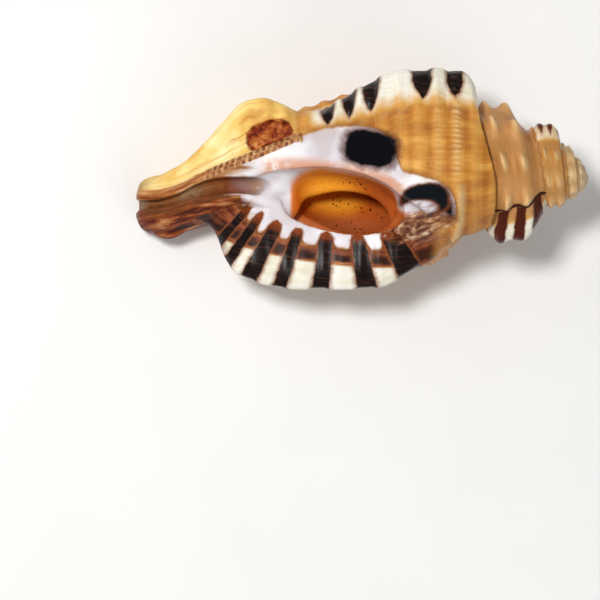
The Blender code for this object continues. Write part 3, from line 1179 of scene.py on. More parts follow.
    def throat(self, home: Values, spot: Spot, hollow: Values, buried: Values) -> Values:
        """Measure the depth inside the orange throat.

        Args:
            home: The points.
            spot: Their places in the spiral.
            hollow: Field of the mouth's hollow.
            buried: Depth of each point under the outer surface.

        Returns:
            Millimetres inside it, negative outside.
        """
        x, y, _ = home.T
        sides = self.form.mouth.throat.inside(-x, y) + 0.5 + 1.6 * ease((-9.0 - y) / 3.0)
        deep = buried - self.throat_wall_mm
        found = np.maximum(sides, np.where(deep > 0.0, deep, -9.0))
        found = np.minimum(np.minimum(found, 1.0 - self.lip_out(spot)), self.throat_to - spot.distance)
        return np.where((hollow < 1.0) & (buried > 1.0), found, -9.0)

    def cream(self, spot: Spot) -> Values:
        """Say how cream-coloured the ribs of the varices are.

        Args:
            spot: The points.

        Returns:
            1 on cream ribs and 0 away from them.
        """
        whorl, out = self.form.whorl, self.lip_out(spot)
        gap = whorl.lip_varix.gap(spot)
        lip = np.where(gap < 0, ease((out - self.block_out) / 1.0), ease(1.6 - 2.0 * gap))
        lip = lip * (np.abs(gap) < 1.6) * (spot.distance > self.lip_cream_from) * spot.last
        left = ease(1.5 - 1.6 * np.abs(whorl.left_varix.gap(spot))) * spot.last
        left = left * ease((self.left_cream_to - spot.distance) / 8.0)
        spire = sum(ease(1.0 - np.abs(gap)) for gap in self.form.spire.gaps(spot)) * ~spot.last
        spire = ease(spire * 2.2 - 0.5) * np.where(spot.turns < self.pale_turns, 0.6, 1.0)
        return np.clip(left + lip + spire, 0.0, 1.0)

    def canal_side(self, spot: Spot) -> tuple[Values, Values, Values]:
        """Find the parts of the canal.

        Args:
            spot: The points.

        Returns:
            How much each point is on the lower wall, on the bank above the groove and on the hump.
        """
        y, z = spot.home[:, 1], spot.home[:, 2]
        groove_y = self.form.canal.groove.at(spot.distance)[0]
        wall_start = self.low_wall_from + self.low_wall_sweep * ease((-8.0 - y) / 5.0)
        wall = ease((spot.distance - wall_start) / 3.5) * (y < groove_y) * spot.last
        bank = ease((spot.distance - self.canal_from) / 6.0) * (z > -2.0) * spot.last
        bank = bank * ease((self.form.callus.ridge.at(spot.distance) - y) / 0.8)
        bank = bank * ease((y - groove_y) / 1.0)
        middle_deg, reach_deg = self.hump_turns
        hump = ease((spot.distance - self.hump_from) / 6.0)
        hump = hump * ease((reach_deg - np.abs(turn_gap(spot.turn_deg, middle_deg))) / 20.0)
        return wall, bank, hump

    def read(self, home: Values) -> dict[str, Values]:
        """Work out every mark at the skin's vertices.

        Args:
            home: Vertices in the shell frame.

        Returns:
            Attribute name against one value, or one vector, for each vertex.
        """
        # A step lies right on the spiral, so it is read further down, where the younger whorl's colour is.
        form, spot = self.form, self.form.spot(home - (self.step_side_mm, 0.0, 0.0))
        whorl, suture = form.whorl, form.suture
        x, y, z = home.T
        out = self.lip_out(spot)
        lip_gap = whorl.lip_varix.gap(spot)
        scallop = form.mouth.scallop_mm * np.clip(1.0 - self.tooth(spot), 0.0, 1.0)
        starts, ends = self.scallops
        scallop = scallop * ease((ends - spot.distance) / 8.0)
        scallop = scallop * ease((spot.distance - starts) / 6.0)
        hollow = form.mouth.hollow(spot, form.outer_radius(spot, bare=True))
        buried = form.outer_radius(spot) - spot.radius
        on_lip = (lip_gap > -2.2) & (lip_gap < 0.1) & spot.last & (y < -8.0)
        rust = on_lip * ease((spot.distance - self.rust_from) / 5.0)
        rust = rust * ease((out - scallop + 0.2) / 0.8)
        edge_half = 0.07 + 0.09 * (1 - spot.across) ** 2
        blush = np.clip(1.0 - np.abs(out - self.blush_out) / self.blush_half, 0.0, 1.0)
        blush = blush * ease((y + 8.0) / 3.0) * (z > 0) * ease((3.0 - buried) / 2.0)
        blush = blush * ease((spot.distance - self.blush[0]) / 5.0)
        wall, bank, hump = self.canal_side(spot)
        ridge_gap = form.callus.ridge_gap(spot)
        spire_cords = 0.6 + 0.15 * np.cos(math.tau * spot.across * form.spire.threads)
        ink = np.maximum(self.ink.inside(-x, y), self.corner_ink.inside(-x, y))
        notch_ink = np.minimum(self.notch_ink.inside(-x, y), 0.3 - self.notch_shine.inside(-x, y))
        above = np.where(z > 2, 0.0, -9.0)
        circle = np.where(spot.last, self.circle_mm, suture.radius.at(spot.end))
        return {
            "home": home,
            "along": np.radians(spot.turns * 360.0) * circle,
            "across": np.where(spot.last, spot.distance, spot.across * (spot.end - spot.start)),
            "age": -spot.turns,
            "enamel": self.enamel(spot, hollow, scallop),
            "throat": self.throat(home, spot, hollow, buried),
            "throat_painted_light": self.throat_painted_light.inside(-x, y),
            "speckled": self.speckled.inside(-x, y),
            "bars": self.bars(spot),
            "ink": ink + above,
            "notch_ink": notch_ink + above,
            "cream": self.cream(spot),
            "rust": rust * (1 - ease((out - self.block_out) / 1.0)),
            "band": out,
            "mottle": np.where(z > 0, self.mottle.inside(-x, y), -9.0),
            "groove": -form.canal.hollow(home),
            "low_wall": wall,
            "bank": bank,
            "blush": blush * ease((self.blush[1] - spot.distance) / 6.0),
            "hump": hump,
            "chink": np.where(z > 0, form.chink.inside(spot.distance, y), -9.0),
            "ridge": form.callus.ridge_half_mm - np.abs(ridge_gap),
            "ridge_side": np.clip(ridge_gap, -3.0, 3.0),
            "cord": np.where(spot.last, whorl.cords.crest(spot.distance), spire_cords),
            "bead": whorl.cords.beads(spot),
            "edge": sum(bump_at(gap, 1.0, edge_half) for gap in form.spire.gaps(spot)[1:2]) * ~spot.last,
            "knob": form.spire.keels(spot) * ~spot.last,
            "seam": form.on_seam(spot) * spot.last,
        }


# ---- materials

def linear(code: str) -> Colour:
    """Turn an sRGB hex colour into the linear colour that nodes hold.

    Args:
        code: Colour such as "#C9832E".

    Returns:
        Red, green, blue and alpha.
    """
    parts = [int(code[i:i + 2], 16) / 255 for i in (1, 3, 5)]
    red, green, blue = (p / 12.92 if p <= 0.04045 else ((p + 0.055) / 1.055) ** 2.4 for p in parts)
    return red, green, blue, 1.0


class Step(Enum):
    """The kinds of node used here: Blender's name for each, and the one setting that makes it that kind."""

    ADD = ("Math", "operation", "ADD")
    TAKE = ("Math", "operation", "SUBTRACT")
    TIMES = ("Math", "operation", "MULTIPLY")
    TIMES_ADD = ("Math", "operation", "MULTIPLY_ADD")
    LARGER = ("Math", "operation", "MAXIMUM")
    SIZE = ("Math", "operation", "ABSOLUTE")
    SINE = ("Math", "operation", "SINE")
    BLEND = ("Mix", "data_type", "RGBA")
    EASE = ("MapRange", "interpolation_type", "SMOOTHSTEP")
    RANGE = ("MapRange", "interpolation_type", "LINEAR")
    RAMP = ("ValToRGB", "", "")
    NOISE = ("TexNoise", "", "")
    CELLS = ("TexVoronoi", "", "")
    MARK = ("Attribute", "", "")
    PLACE = ("TexCoord", "", "")
    TURNED = ("Mapping", "vector_type", "TEXTURE")
    JOIN = ("CombineXYZ", "", "")
    SPLIT = ("SeparateXYZ", "", "")
    BUMP = ("Bump", "", "")
    SHADER = ("BsdfPrincipled", "", "")
    OUTPUT = ("OutputMaterial", "", "")


class Graph:
    """A material's node tree, written one node at a time."""

    def __init__(self, name: str) -> None:
        """Start an empty material.

        Args:
            name: Name of the material.
        """
        self.material = bpy.data.materials.new(name)
        self.material.use_nodes = True
        self.material.node_tree.nodes.clear()

    def add(self, step: Step, *values: Given, output: str = "", stops: Stops = (),
            named: dict[str, Given] | None = None, **settings: str) -> Socket | None:
        """Add a node with its settings and links.

        Args:
            step: Kind of node.
            values: A socket to link or a value to hold, for each input in use, from the first on.
            output: Name of the output to give back; the first in use if left out.
            stops: Places and hex colours, on a colour ramp.
            named: The same as values, by name of the input.
            settings: Further properties of the node.

        Returns:
            The output, or None on the last node.
        """
        tree = self.material.node_tree
        kind, setting, option = step.value
        node = tree.nodes.new("ShaderNode" + kind)
        if setting:
            setattr(node, setting, option)
        for name, value in settings.items():
            setattr(node, name, value)
        if stops:
            elements = node.color_ramp.elements
            while len(elements) < len(stops):
                elements.new(1.0)
            for element, (place, code) in zip(elements, stops):
                element.position, element.color = place, linear(code)
        used = [socket for socket in node.inputs if socket.enabled]
        by_name = {socket.identifier: socket for socket in used}
        pairs = list(zip(used, values)) + [(by_name[name], value) for name, value in (named or {}).items()]
        for socket, value in pairs:
            if isinstance(value, Socket):
                tree.links.new(value, socket)
            else:
                socket.default_value = linear(value) if isinstance(value, str) else value
        shown = [socket for socket in node.outputs if socket.enabled and output in ("", socket.identifier)]
        return shown[0] if shown else None


@dataclass(frozen=True)
class ShellFinish:
    """Aragonite grown in layers, worn silky outside and glazed round the mouth.

    The dull outer layer keeps its fine growth lines and cords, so light breaks up on it. The enamel
    of the callus, the lip and the bars is smooth and wet-looking, so it mirrors the lamps.

    Attributes:
        name: Name of the material.
        growth_line_mm: Spacing of the growth lines; the real 0.3 mm wouldn't show.
        line_stretch: Width of a growth line as a share of its length.
        band_stretch: The same for a growth band.
        thread_stretch: The same for a thread.
        wall_stretch: The same for a line down the canal's wall.
        lip_stretch: The same for a line along the lip's edge.
        thread_mm: Spacing of the fine spiral threads.
        wobble_mm: Size of the waves along the edge of each marking.
        cloud_mm: Size of the soft clouds of colour.
        grain_mm: Size of the finest grain.
        growth_band_mm: Width of the wide growth bands.
        speck_mm: Spacing of the dark specks in the throat.
        dust_mm: Spacing of the finer specks.
        speck_group_mm: Size of the dark specks' groups.
        dust_group_mm: Size of the finer specks' groups.
        stain_mm: Size of the chestnut stains on the hump.
        chink_mm: Size of the patches in the chink.
        wall_line_mm: Spacing of the lines on the canal's lower wall.
        bank_line_mm: Spacing of the lines on its tan bank.
        groove_line_mm: Spacing of the lines in its groove.
        rust_line_mm: Spacing of the lines in the rusty band.
        bar_line_mm: Spacing of the lines in the dark bars.
        pearl_mm: Size of the clouds in the enamel.
        enamel_edge_mm: Size of the tongues at the enamel's end in the canal.
        tinge_mm: Size of the orange patches in the enamel.
        mottle_mm: Size of the mottled end's patches.
        mottle_edge_mm: Size of the tongues at that end's edge.
        streak_mm: Size of the pale streaks over the bars there.
        wear_mm: Size of the worn places on the ridge.
        horn_mm: Size of the patches of the ridge's horn colour.
        old_spire: Turns back at which the spire starts to brown and is brown.
        old_bars: Turns back at which the bars start to rust and are rusty.
        throat_painted_shade: Distances at which the painted shade on the throat's right-hand wall, where it
            turns away from the light, starts and is whole.
        throat_low: Y at which the throat's low side starts and is whole.
        groove_starts: Distances at which the canal's groove starts and is whole.
        enamel_ends: Distances at which the enamel is gone and is whole.
        ridge_pales: Distances at which the ridge starts to turn as pale as the bank and is.
        dashes_end: Distances at which the ridge's dashes are gone and are whole.
        tail_browns: Distances at which the canal's end starts to brown and is brown.
        dash_mm: Spacing of the dashes on the ridge.
        index: Index of refraction, the lowest of aragonite's three.
        silky: Roughness of the worn outer layer.
        glazed: Roughness of the enamel.
        coat: Weight of the thin lustre over all of it.
        coat_roughness: Its roughness.
        specular: Strength of the mirrored light; a dry shell has under half of the usual 0.5.
    """

    name: str = "aragonite_shell_grown_and_glazed"
    growth_line_mm: float = 0.55
    line_stretch: float = 0.07
    band_stretch: float = 0.35
    thread_stretch: float = 0.06
    wall_stretch: float = 0.16
    lip_stretch: float = 0.12
    thread_mm: float = 0.7
    wobble_mm: float = 2.2
    cloud_mm: float = 9.0
    grain_mm: float = 0.8
    growth_band_mm: float = 4.5
    speck_mm: float = 1.4
    dust_mm: float = 0.9
    speck_group_mm: float = 5.0
    dust_group_mm: float = 3.0
    stain_mm: float = 1.3
    chink_mm: float = 2.6
    wall_line_mm: float = 1.6
    bank_line_mm: float = 2.2
    groove_line_mm: float = 1.8
    rust_line_mm: float = 1.1
    bar_line_mm: float = 0.7
    pearl_mm: float = 11.0
    enamel_edge_mm: float = 1.8
    tinge_mm: float = 5.0
    mottle_mm: float = 2.2
    mottle_edge_mm: float = 3.0
    streak_mm: float = 1.3
    wear_mm: float = 2.4
    horn_mm: float = 1.6
    old_spire: Point2 = (0.80, 1.25)
    old_bars: Point2 = (1.2, 2.6)
    throat_painted_shade: Point2 = (63.0, 53.0)
    throat_low: Point2 = (-9.5, -14.5)
    groove_starts: Point2 = (82.0, 89.0)
    enamel_ends: Point2 = (95.0, 87.5)
    ridge_pales: Point2 = (97.0, 103.0)
    dashes_end: Point2 = (106.0, 98.0)
    tail_browns: Point2 = (115.5, 119.8)
    dash_mm: float = 1.6
    index: float = 1.53
    silky: float = 0.46
    glazed: float = 0.13
    coat: float = 0.04
    coat_roughness: float = 0.10
    specular: float = 0.22

    def build(self) -> bpy.types.Material:
        """Make the material."""
        return ShellPainting(self).paint()


class ShellPainting:
    """The layers of colour, gloss and fine relief on the shell, laid from the outer layer up.

    Marks that hold a depth are in millimetres inside their marking, so the softness of each edge is a
    real width. Noise sizes are in millimetres too, because the coordinates are.

    Attributes:
        marks: Names of the skin's marks that the layers use.
    """

    marks: tuple[str, ...] = (
        "along", "across", "age", "blush", "enamel", "throat", "throat_painted_light", "speckled", "bars", "ink", "notch_ink",
        "cream", "rust", "band", "mottle", "groove", "low_wall", "bank", "hump", "chink", "ridge",
        "ridge_side", "cord", "bead", "edge", "seam", "knob")

    def __init__(self, finish: ShellFinish) -> None:
        """Read the skin's marks and make the patterns that several layers share.

        Args:
            finish: Sizes and gloss of the material.
        """
        self.finish, self.graph = finish, Graph(finish.name)
        self.add = add = self.graph.add
        self.mark = {name: add(Step.MARK, output="Fac", attribute_name=name) for name in self.marks}
        self.home = add(Step.MARK, output="Vector", attribute_name="home")
        along, across = self.mark["along"], self.mark["across"]
        # Growth lines run across the whorl, so they are short along it and long across it.
        self.grown = add(Step.JOIN, along, add(Step.TIMES, across, finish.line_stretch))
        grown_wide = add(Step.JOIN, along, add(Step.TIMES, across, finish.band_stretch))
        threads = add(Step.JOIN, add(Step.TIMES, along, finish.thread_stretch), across)
        # Lines down the canal keep to its walls, and lines on the lip keep to its edge.
        self.wall_lines = add(Step.JOIN, self.mark["groove"], add(Step.TIMES, across, finish.wall_stretch))
        self.band_lines = add(Step.JOIN, add(Step.TIMES, across, finish.lip_stretch), self.mark["band"])
        self.fine = add(Step.NOISE, self.grown, 1 / finish.growth_line_mm, 3.0, 0.6)
        self.wide = add(Step.NOISE, grown_wide, 1 / finish.growth_band_mm, 3.0, 0.55)
        self.thread = add(Step.NOISE, threads, 1 / finish.thread_mm, 2.0, 0.55)
        self.cloud = add(Step.NOISE, self.home, 1 / finish.cloud_mm, 3.0)
        self.grain = add(Step.NOISE, self.home, 1 / finish.grain_mm, 3.0, 0.6)
        waves = add(Step.NOISE, self.home, 1 / finish.wobble_mm, 3.0, 0.6)
        self.wobble = add(Step.TIMES, add(Step.TAKE, waves, 0.5), 1.6)

    def mask(self, depth: Socket, soft: float = 0.18, wave: float = 0.5) -> Socket:
        """Turn a depth into a mask with a slightly uneven edge of the given half width and wobble."""
        uneven = self.add(Step.ADD, depth, self.add(Step.TIMES, self.wobble, wave))
        return self.add(Step.EASE, uneven, -soft, soft)

    def outer_layer(self) -> Socket:
        """Colour the worn ochre layer: clouds and growth bands, paler cords and beads, a browner old spire
        with painted highlights on its knobs and painted shade between them.

        Returns:
            The colour.
        """
        add, mark = self.add, self.mark
        tone = add(Step.ADD, add(Step.TIMES, self.wide, 0.65), add(Step.TIMES, self.cloud, 0.35))
        outer = add(Step.RAMP, tone, stops=(
            (0.30, "#8A4F22"), (0.42, "#B06C28"), (0.52, "#C98432"), (0.66, "#E3A850")))
        drift = add(Step.TIMES, add(Step.TAKE, self.cloud, 0.5), 0.3)
        spire = add(Step.RAMP, add(Step.ADD, add(Step.TIMES, mark["age"], 0.16), drift), stops=(
            (0.16, "#A5713F"), (0.26, "#BC8248"), (0.34, "#C99560"), (0.42, "#B97E3C"), (0.54, "#D0A870"),
            (0.68, "#CFBE9C")))
        # Painted light on the spire: knob tops are lightened as a highlight and the gaps between the knobs
        # are darkened as shade.
        shade_between_knobs, top = add(Step.EASE, mark["knob"], 0.08, 0.0), add(Step.EASE, mark["knob"], 0.08, 0.22)
        spire = add(Step.BLEND, add(Step.TIMES, shade_between_knobs, 0.5), spire, "#955C30")
        spire = add(Step.BLEND, add(Step.TIMES, top, 0.8), spire, "#EAC48E")
        outer = add(Step.BLEND, add(Step.EASE, mark["age"], *self.finish.old_spire), outer, spire)
        lined = add(Step.TIMES_ADD, add(Step.EASE, mark["age"], 1.3, 0.7), 0.20, 0.04)
        furrow = add(Step.EASE, mark["cord"], 0.25, 0.0)
        for share, strength, colour in (
                (add(Step.EASE, self.fine, 0.50, 0.30), lined, "#7A4A22"),
                (add(Step.EASE, self.thread, 0.52, 0.70), 0.10, "#F0C078"),
                (mark["cord"], 0.22, "#EDBB6A"), (furrow, 0.20, "#7C4719"),
                (mark["bead"], 0.75, "#F6D89A"), (mark["seam"], 0.8, "#E8C488")):
            outer = add(Step.BLEND, add(Step.TIMES, share, strength), outer, colour)
        return outer

    def hump_and_chink(self, outer: Socket) -> Socket:
        """Colour the yellow-cream hump beside the canal, stained chestnut, and the brown chink in it.

        Args:
            outer: The colour under them.

        Returns:
            The colour with both.
        """
        add = self.add
        tone = add(Step.ADD, add(Step.TIMES, self.cloud, 0.6), add(Step.TIMES, self.wide, 0.4))
        hump = add(Step.RAMP, tone, stops=(
            (0.34, "#D69642"), (0.46, "#F0C86E"), (0.58, "#F9E4A0"), (0.72, "#FEF4C4")))
        stain = add(Step.EASE, add(Step.NOISE, self.grown, 1 / self.finish.stain_mm, 4.0, 0.65), 0.50, 0.64)
        hump = add(Step.BLEND, add(Step.TIMES, stain, 0.60), hump, "#C07C30")
        outer = add(Step.BLEND, self.mark["hump"], outer, hump)
        chink = add(Step.RAMP, add(Step.NOISE, self.home, 1 / self.finish.chink_mm, 4.0, 0.65), stops=(
            (0.36, "#4C150A"), (0.47, "#7E2C10"), (0.58, "#B5602A"), (0.70, "#D79A5A")))
        return add(Step.BLEND, self.mask(self.mark["chink"], 0.25), outer, chink)

    def varix_cream(self, outer: Socket) -> Socket:
        """Colour the cream ribs of the varices, which fade out through gold.

        Args:
            outer: The colour under them.

        Returns:
            The colour with the ribs.
        """
        add = self.add
        tone = add(Step.ADD, add(Step.TIMES, self.cloud, 0.5), add(Step.TIMES, self.fine, 0.5))
        cream = add(Step.RAMP, tone, stops=(
            (0.32, "#D6CBAE"), (0.44, "#E4DDC8"), (0.56, "#EDE9DC"), (0.70, "#F6F4EE")))
        creamy = add(Step.ADD, self.mark["cream"], add(Step.TIMES, self.wobble, 0.25))
        outer = add(Step.BLEND, add(Step.TIMES, add(Step.EASE, creamy, 0.05, 0.45), 0.7), outer, "#DCA850")
        return add(Step.BLEND, add(Step.EASE, creamy, 0.25, 0.95), outer, cream)

    def canal_walls(self, outer: Socket) -> tuple[Socket, Socket]:
        """Colour the dark lower wall of the canal and the tan bank above its groove.

        Args:
            outer: The colour under them.

        Returns:
            The colour with both, and the bank's own colour.
        """
        add = self.add
        lines = add(Step.NOISE, self.wall_lines, 1 / self.finish.wall_line_mm, 4.0, 0.62)
        wall = add(Step.RAMP, lines, stops=(
            (0.36, "#1E0804"), (0.46, "#571B0C"), (0.57, "#984A1E"), (0.70, "#D2A06A")))
        outer = add(Step.BLEND, self.mark["low_wall"], outer, wall)
        lines = add(Step.NOISE, self.wall_lines, 1 / self.finish.bank_line_mm, 4.0, 0.65)
        bank = add(Step.RAMP, lines, stops=(
            (0.34, "#7E3C16"), (0.46, "#B06C34"), (0.58, "#CF9A66"), (0.72, "#E6C8A4")))
        return add(Step.BLEND, add(Step.TIMES, self.mark["bank"], 0.95), outer, bank), bank

    def rusty_band(self, outer: Socket) -> Socket:
        """Colour the rusty band between the lip's teeth and its white blocks, lined along the lip's edge.

        Args:
            outer: The colour under it.

        Returns:
            The colour with the band.
        """
        add = self.add
        lines = add(Step.NOISE, self.band_lines, 1 / self.finish.rust_line_mm, 3.0, 0.6)
        rust = add(Step.RAMP, lines, stops=(
            (0.34, "#4A1F12"), (0.47, "#743620"), (0.60, "#9A5430"), (0.74, "#C08050")))
        low = add(Step.ADD, self.mark["band"], self.wobble)
        dark = add(Step.TIMES, add(Step.EASE, low, 4.0, 5.8), add(Step.EASE, low, 7.3, 6.5))
        rust = add(Step.BLEND, add(Step.TIMES, dark, 0.9), rust, "#1C0B07")
        outer = add(Step.BLEND, self.mark["rust"], outer, rust)
        return add(Step.BLEND, add(Step.EASE, self.mark["edge"], 0.35, 0.7), outer, "#35180D")

    def enamel(self, outer: Socket) -> tuple[Socket, Socket]:
        """Colour the pearly enamel of the callus and the lip, thin and stained at its edge.

        Args:
            outer: The colour under it.

        Returns:
            The colour with the enamel, and where the enamel shows.
        """
        add, mark, finish = self.add, self.mark, self.finish
        enamel = add(Step.RAMP, add(Step.NOISE, self.home, 1 / finish.pearl_mm, 2.0), stops=(
            (0.34, "#CDC2C4"), (0.46, "#DAD3D8"), (0.56, "#E9E5E8"), (0.68, "#F8F7F5")))
        stray = add(Step.TAKE, add(Step.NOISE, self.wall_lines, 1 / finish.enamel_edge_mm, 3.0), 0.5)
        fade = add(Step.ADD, mark["across"], add(Step.TIMES, stray, 16.0))
        inside = self.mask(mark["enamel"], 0.35, 0.8)
        shown = add(Step.TIMES, inside, add(Step.EASE, fade, *finish.enamel_ends))
        thin = add(Step.TIMES, add(Step.EASE, mark["enamel"], 1.6, 0.0), 0.22)
        enamel = add(Step.BLEND, thin, enamel, "#C58E5C")
        patches = add(Step.EASE, add(Step.NOISE, self.home, 1 / finish.tinge_mm, 3.0, 0.6), 0.28, 0.52)
        tinge = add(Step.TIMES, add(Step.EASE, mark["blush"], 0.0, 0.8), patches)
        enamel = add(Step.BLEND, add(Step.TIMES, tinge, 0.8), enamel, "#D08C62")
        fringe = add(Step.EASE, add(Step.ADD, mark["enamel"], self.wobble), -1.9, -0.1)
        outer = add(Step.BLEND, add(Step.TIMES, fringe, 0.5), outer, "#7E4A1E")
        return add(Step.BLEND, shown, outer, enamel), shown

    def bars_and_mottle(self, surface: Socket) -> Socket:
        """Colour the near-black bars with their rusty edges and tips, and the mottled end of the lip.

        Args:
            surface: The colour under them.

        Returns:
            The colour with both.
        """
        add, mark, finish = self.add, self.mark, self.finish
        streaks = add(Step.TURNED, self.home, named={"Rotation": (0.0, 0.0, 0.5), "Scale": (2.2, 0.7, 1.0)})
        mottle = add(Step.RAMP, add(Step.NOISE, streaks, 1 / finish.mottle_mm, 4.0, 0.62), stops=(
            (0.36, "#3A1C14"), (0.46, "#70402C"), (0.56, "#A87450"), (0.66, "#E2C2A0")))
        tongues = add(Step.NOISE, streaks, 1 / finish.mottle_edge_mm, 3.0)
        stray = add(Step.TIMES, add(Step.TAKE, tongues, 0.5), 6.0)
        ragged = add(Step.ADD, mark["mottle"], stray)
        mottled = add(Step.TIMES, add(Step.EASE, ragged, -1.0, 1.3), 0.92)
        surface = add(Step.BLEND, mottled, surface, mottle)

        bar = add(Step.RAMP, add(Step.NOISE, self.band_lines, 1 / finish.bar_line_mm, 3.0), stops=(
            (0.35, "#0E0908"), (0.55, "#1E110D"), (0.72, "#4A281A")))
        bar = add(Step.BLEND, add(Step.EASE, mark["age"], *finish.old_bars), bar, "#5A2110")
        tip = add(Step.ADD, mark["band"], add(Step.TIMES, add(Step.TAKE, self.grain, 0.5), 3.0))
        bar = add(Step.BLEND, add(Step.TIMES, add(Step.EASE, tip, 2.6, 0.2), 0.85), bar, "#8E4119")
        halo = add(Step.TAKE, 0.42, add(Step.TIMES, add(Step.EASE, mark["age"], 1.0, 2.0), 0.45))
        halo = add(Step.ADD, mark["bars"], add(Step.ADD, halo, 0.1))
        surface = add(Step.BLEND, add(Step.TIMES, self.mask(halo, 0.65, 0.9), 0.85), surface, "#8A4A20")
        surface = add(Step.BLEND, self.mask(mark["bars"], 0.22, 0.7), surface, bar)

        lit = add(Step.EASE, add(Step.NOISE, streaks, 1 / finish.streak_mm, 3.0), 0.47, 0.56)
        streaked = add(Step.TIMES, add(Step.EASE, ragged, -0.6, 1.0), lit)
        return add(Step.BLEND, add(Step.TIMES, streaked, 0.7), surface, mottle)

    def blotches(self, surface: Socket) -> Socket:
        """Colour the two ink-dark blotches with their brown rims, and the brown end of the canal.

        Args:
            surface: The colour under them.

        Returns:
            The colour with them.
        """
        add, mark = self.add, self.mark
        rim = self.mask(add(Step.ADD, mark["ink"], 1.0), 0.8, 1.2)
        surface = add(Step.BLEND, add(Step.TIMES, rim, 0.8), surface, "#5A2C1A")
        surface = add(Step.BLEND, self.mask(mark["ink"], 0.4, 1.0), surface, "#040309")
        surface = add(Step.BLEND, self.mask(add(Step.ADD, mark["notch_ink"], 0.4), 0.6), surface, "#7A4022")
        surface = add(Step.BLEND, self.mask(mark["notch_ink"], 0.45), surface, "#0A1016")
        tail = add(Step.EASE, add(Step.ADD, mark["across"], self.wobble), *self.finish.tail_browns)
        return add(Step.BLEND, add(Step.TIMES, tail, 0.6), surface, "#7A3A1C")

    def groove(self, surface: Socket) -> Socket:
        """Colour the orange floor of the canal's groove, lightened as painted light against the shade in the
        groove, and the dark line along its rim.

        Args:
            surface: The colour under it.

        Returns:
            The colour with the groove.
        """
        add, mark = self.add, self.mark
        # Painted light: the groove's own orange is made lighter here, to make up for the shade that falls in
        # the groove.
        groove = add(Step.RAMP, add(Step.NOISE, self.wall_lines, 1 / self.finish.groove_line_mm, 3.0), stops=(
            (0.36, "#D05A18"), (0.50, "#EE9850"), (0.66, "#FFCC98")))
        in_canal = add(Step.EASE, mark["across"], *self.finish.groove_starts)
        surface = add(Step.BLEND, add(Step.TIMES, self.mask(mark["groove"], 0.4), in_canal), surface, groove)
        from_rim = add(Step.SIZE, add(Step.ADD, mark["groove"], add(Step.TIMES, self.wobble, 0.3)))
        rim = add(Step.TIMES, add(Step.EASE, from_rim, 0.42, 0.12), in_canal)
        return add(Step.BLEND, add(Step.TIMES, rim, 0.6), surface, "#341006")

    def throat(self, surface: Socket) -> Socket:
        """Colour the orange throat: golden painted light where light falls through the wall and under the
        overhang's shade, painted shade on the right-hand wall, rusty below, with dark specks.

        Args:
            surface: The colour under it.

        Returns:
            The colour with the throat.
        """
        add, mark, finish = self.add, self.mark, self.finish
        depth = add(Step.ADD, add(Step.TIMES, mark["throat"], 0.10), add(Step.TIMES, self.cloud, 0.2))
        throat = add(Step.RAMP, depth, stops=(
            (0.05, "#E8BE96"), (0.14, "#DE8038"), (0.30, "#CC6018"), (0.60, "#C05A1A")))
        low_side = add(Step.EASE, add(Step.SPLIT, self.home, output="Y"), *finish.throat_low)
        throat = add(Step.BLEND, add(Step.TIMES, low_side, 0.7), throat, "#BE6C42")
        # Painted light: a golden oval that stands for light falling through the thin far wall and lightens
        # the shade under the overhang.
        throat = add(Step.BLEND, add(Step.EASE, mark["throat_painted_light"], -1.0, 4.2), throat, "#FFA830")
        # Painted shade: the throat's right-hand wall, which turns away from the light, is darkened towards
        # rust brown.
        right = add(Step.EASE, mark["across"], *finish.throat_painted_shade)
        throat = add(Step.BLEND, add(Step.TIMES, right, 0.70), throat, "#AC5424")
        specks = add(Step.EASE, add(Step.CELLS, self.home, 1 / finish.speck_mm), 0.27, 0.17)
        groups = add(Step.NOISE, self.home, 1 / finish.speck_group_mm, 1.0)
        rare = add(Step.ADD, groups, add(Step.TIMES, mark["speckled"], 0.03))
        specks = add(Step.TIMES, specks, add(Step.EASE, rare, 0.43, 0.52))
        throat = add(Step.BLEND, specks, throat, "#3A1405")
        dust = add(Step.EASE, add(Step.CELLS, self.home, 1 / finish.dust_mm), 0.26, 0.14)
        grouped = add(Step.NOISE, self.home, 1 / finish.dust_group_mm, 1.0)
        dusty = add(Step.TIMES, dust, add(Step.EASE, grouped, 0.46, 0.56))
        throat = add(Step.BLEND, add(Step.TIMES, dusty, 0.7), throat, "#7A3210")
        return add(Step.BLEND, add(Step.EASE, mark["throat"], -0.6, 0.8), surface, throat)

    def ridge(self, surface: Socket, bank: Socket) -> Socket:
        """Colour the horn-brown ridge along the canal with its two rows of worn dashes.

        Args:
            surface: The colour under it.
            bank: Colour of the bank, which the ridge takes on further down.

        Returns:
            The colour with the ridge.
        """
        add, mark, finish = self.add, self.mark, self.finish
        other_row = add(Step.EASE, mark["ridge_side"], -0.1, 0.1)
        shift = add(Step.ADD, add(Step.TIMES, other_row, 1.4), add(Step.TIMES, self.wobble, 1.5))
        along = add(Step.TIMES, mark["across"], math.tau / finish.dash_mm)
        wave = add(Step.SINE, add(Step.ADD, along, shift))
        off_crest = add(Step.EASE, add(Step.SIZE, mark["ridge_side"]), 0.05, 0.22)
        dashes = add(Step.TIMES, add(Step.EASE, wave, -0.35, 0.1), off_crest)
        dashes = add(Step.TIMES, dashes, add(Step.EASE, mark["across"], *finish.dashes_end))
        wear = add(Step.EASE, add(Step.NOISE, self.home, 1 / finish.wear_mm, 3.0, 0.6), 0.62, 0.40)
        dashes = add(Step.TIMES, dashes, add(Step.ADD, 0.45, add(Step.TIMES, wear, 0.5)))
        horn = add(Step.RAMP, add(Step.NOISE, self.home, 1 / finish.horn_mm, 3.0, 0.6), stops=(
            (0.36, "#A4683C"), (0.50, "#C08A58"), (0.64, "#D4AC7C")))
        ridge = add(Step.BLEND, add(Step.EASE, mark["across"], *finish.ridge_pales), horn, bank)
        ridge = add(Step.BLEND, dashes, ridge, "#6E3420")
        return add(Step.BLEND, self.mask(mark["ridge"], 0.2, 0.3), surface, ridge)

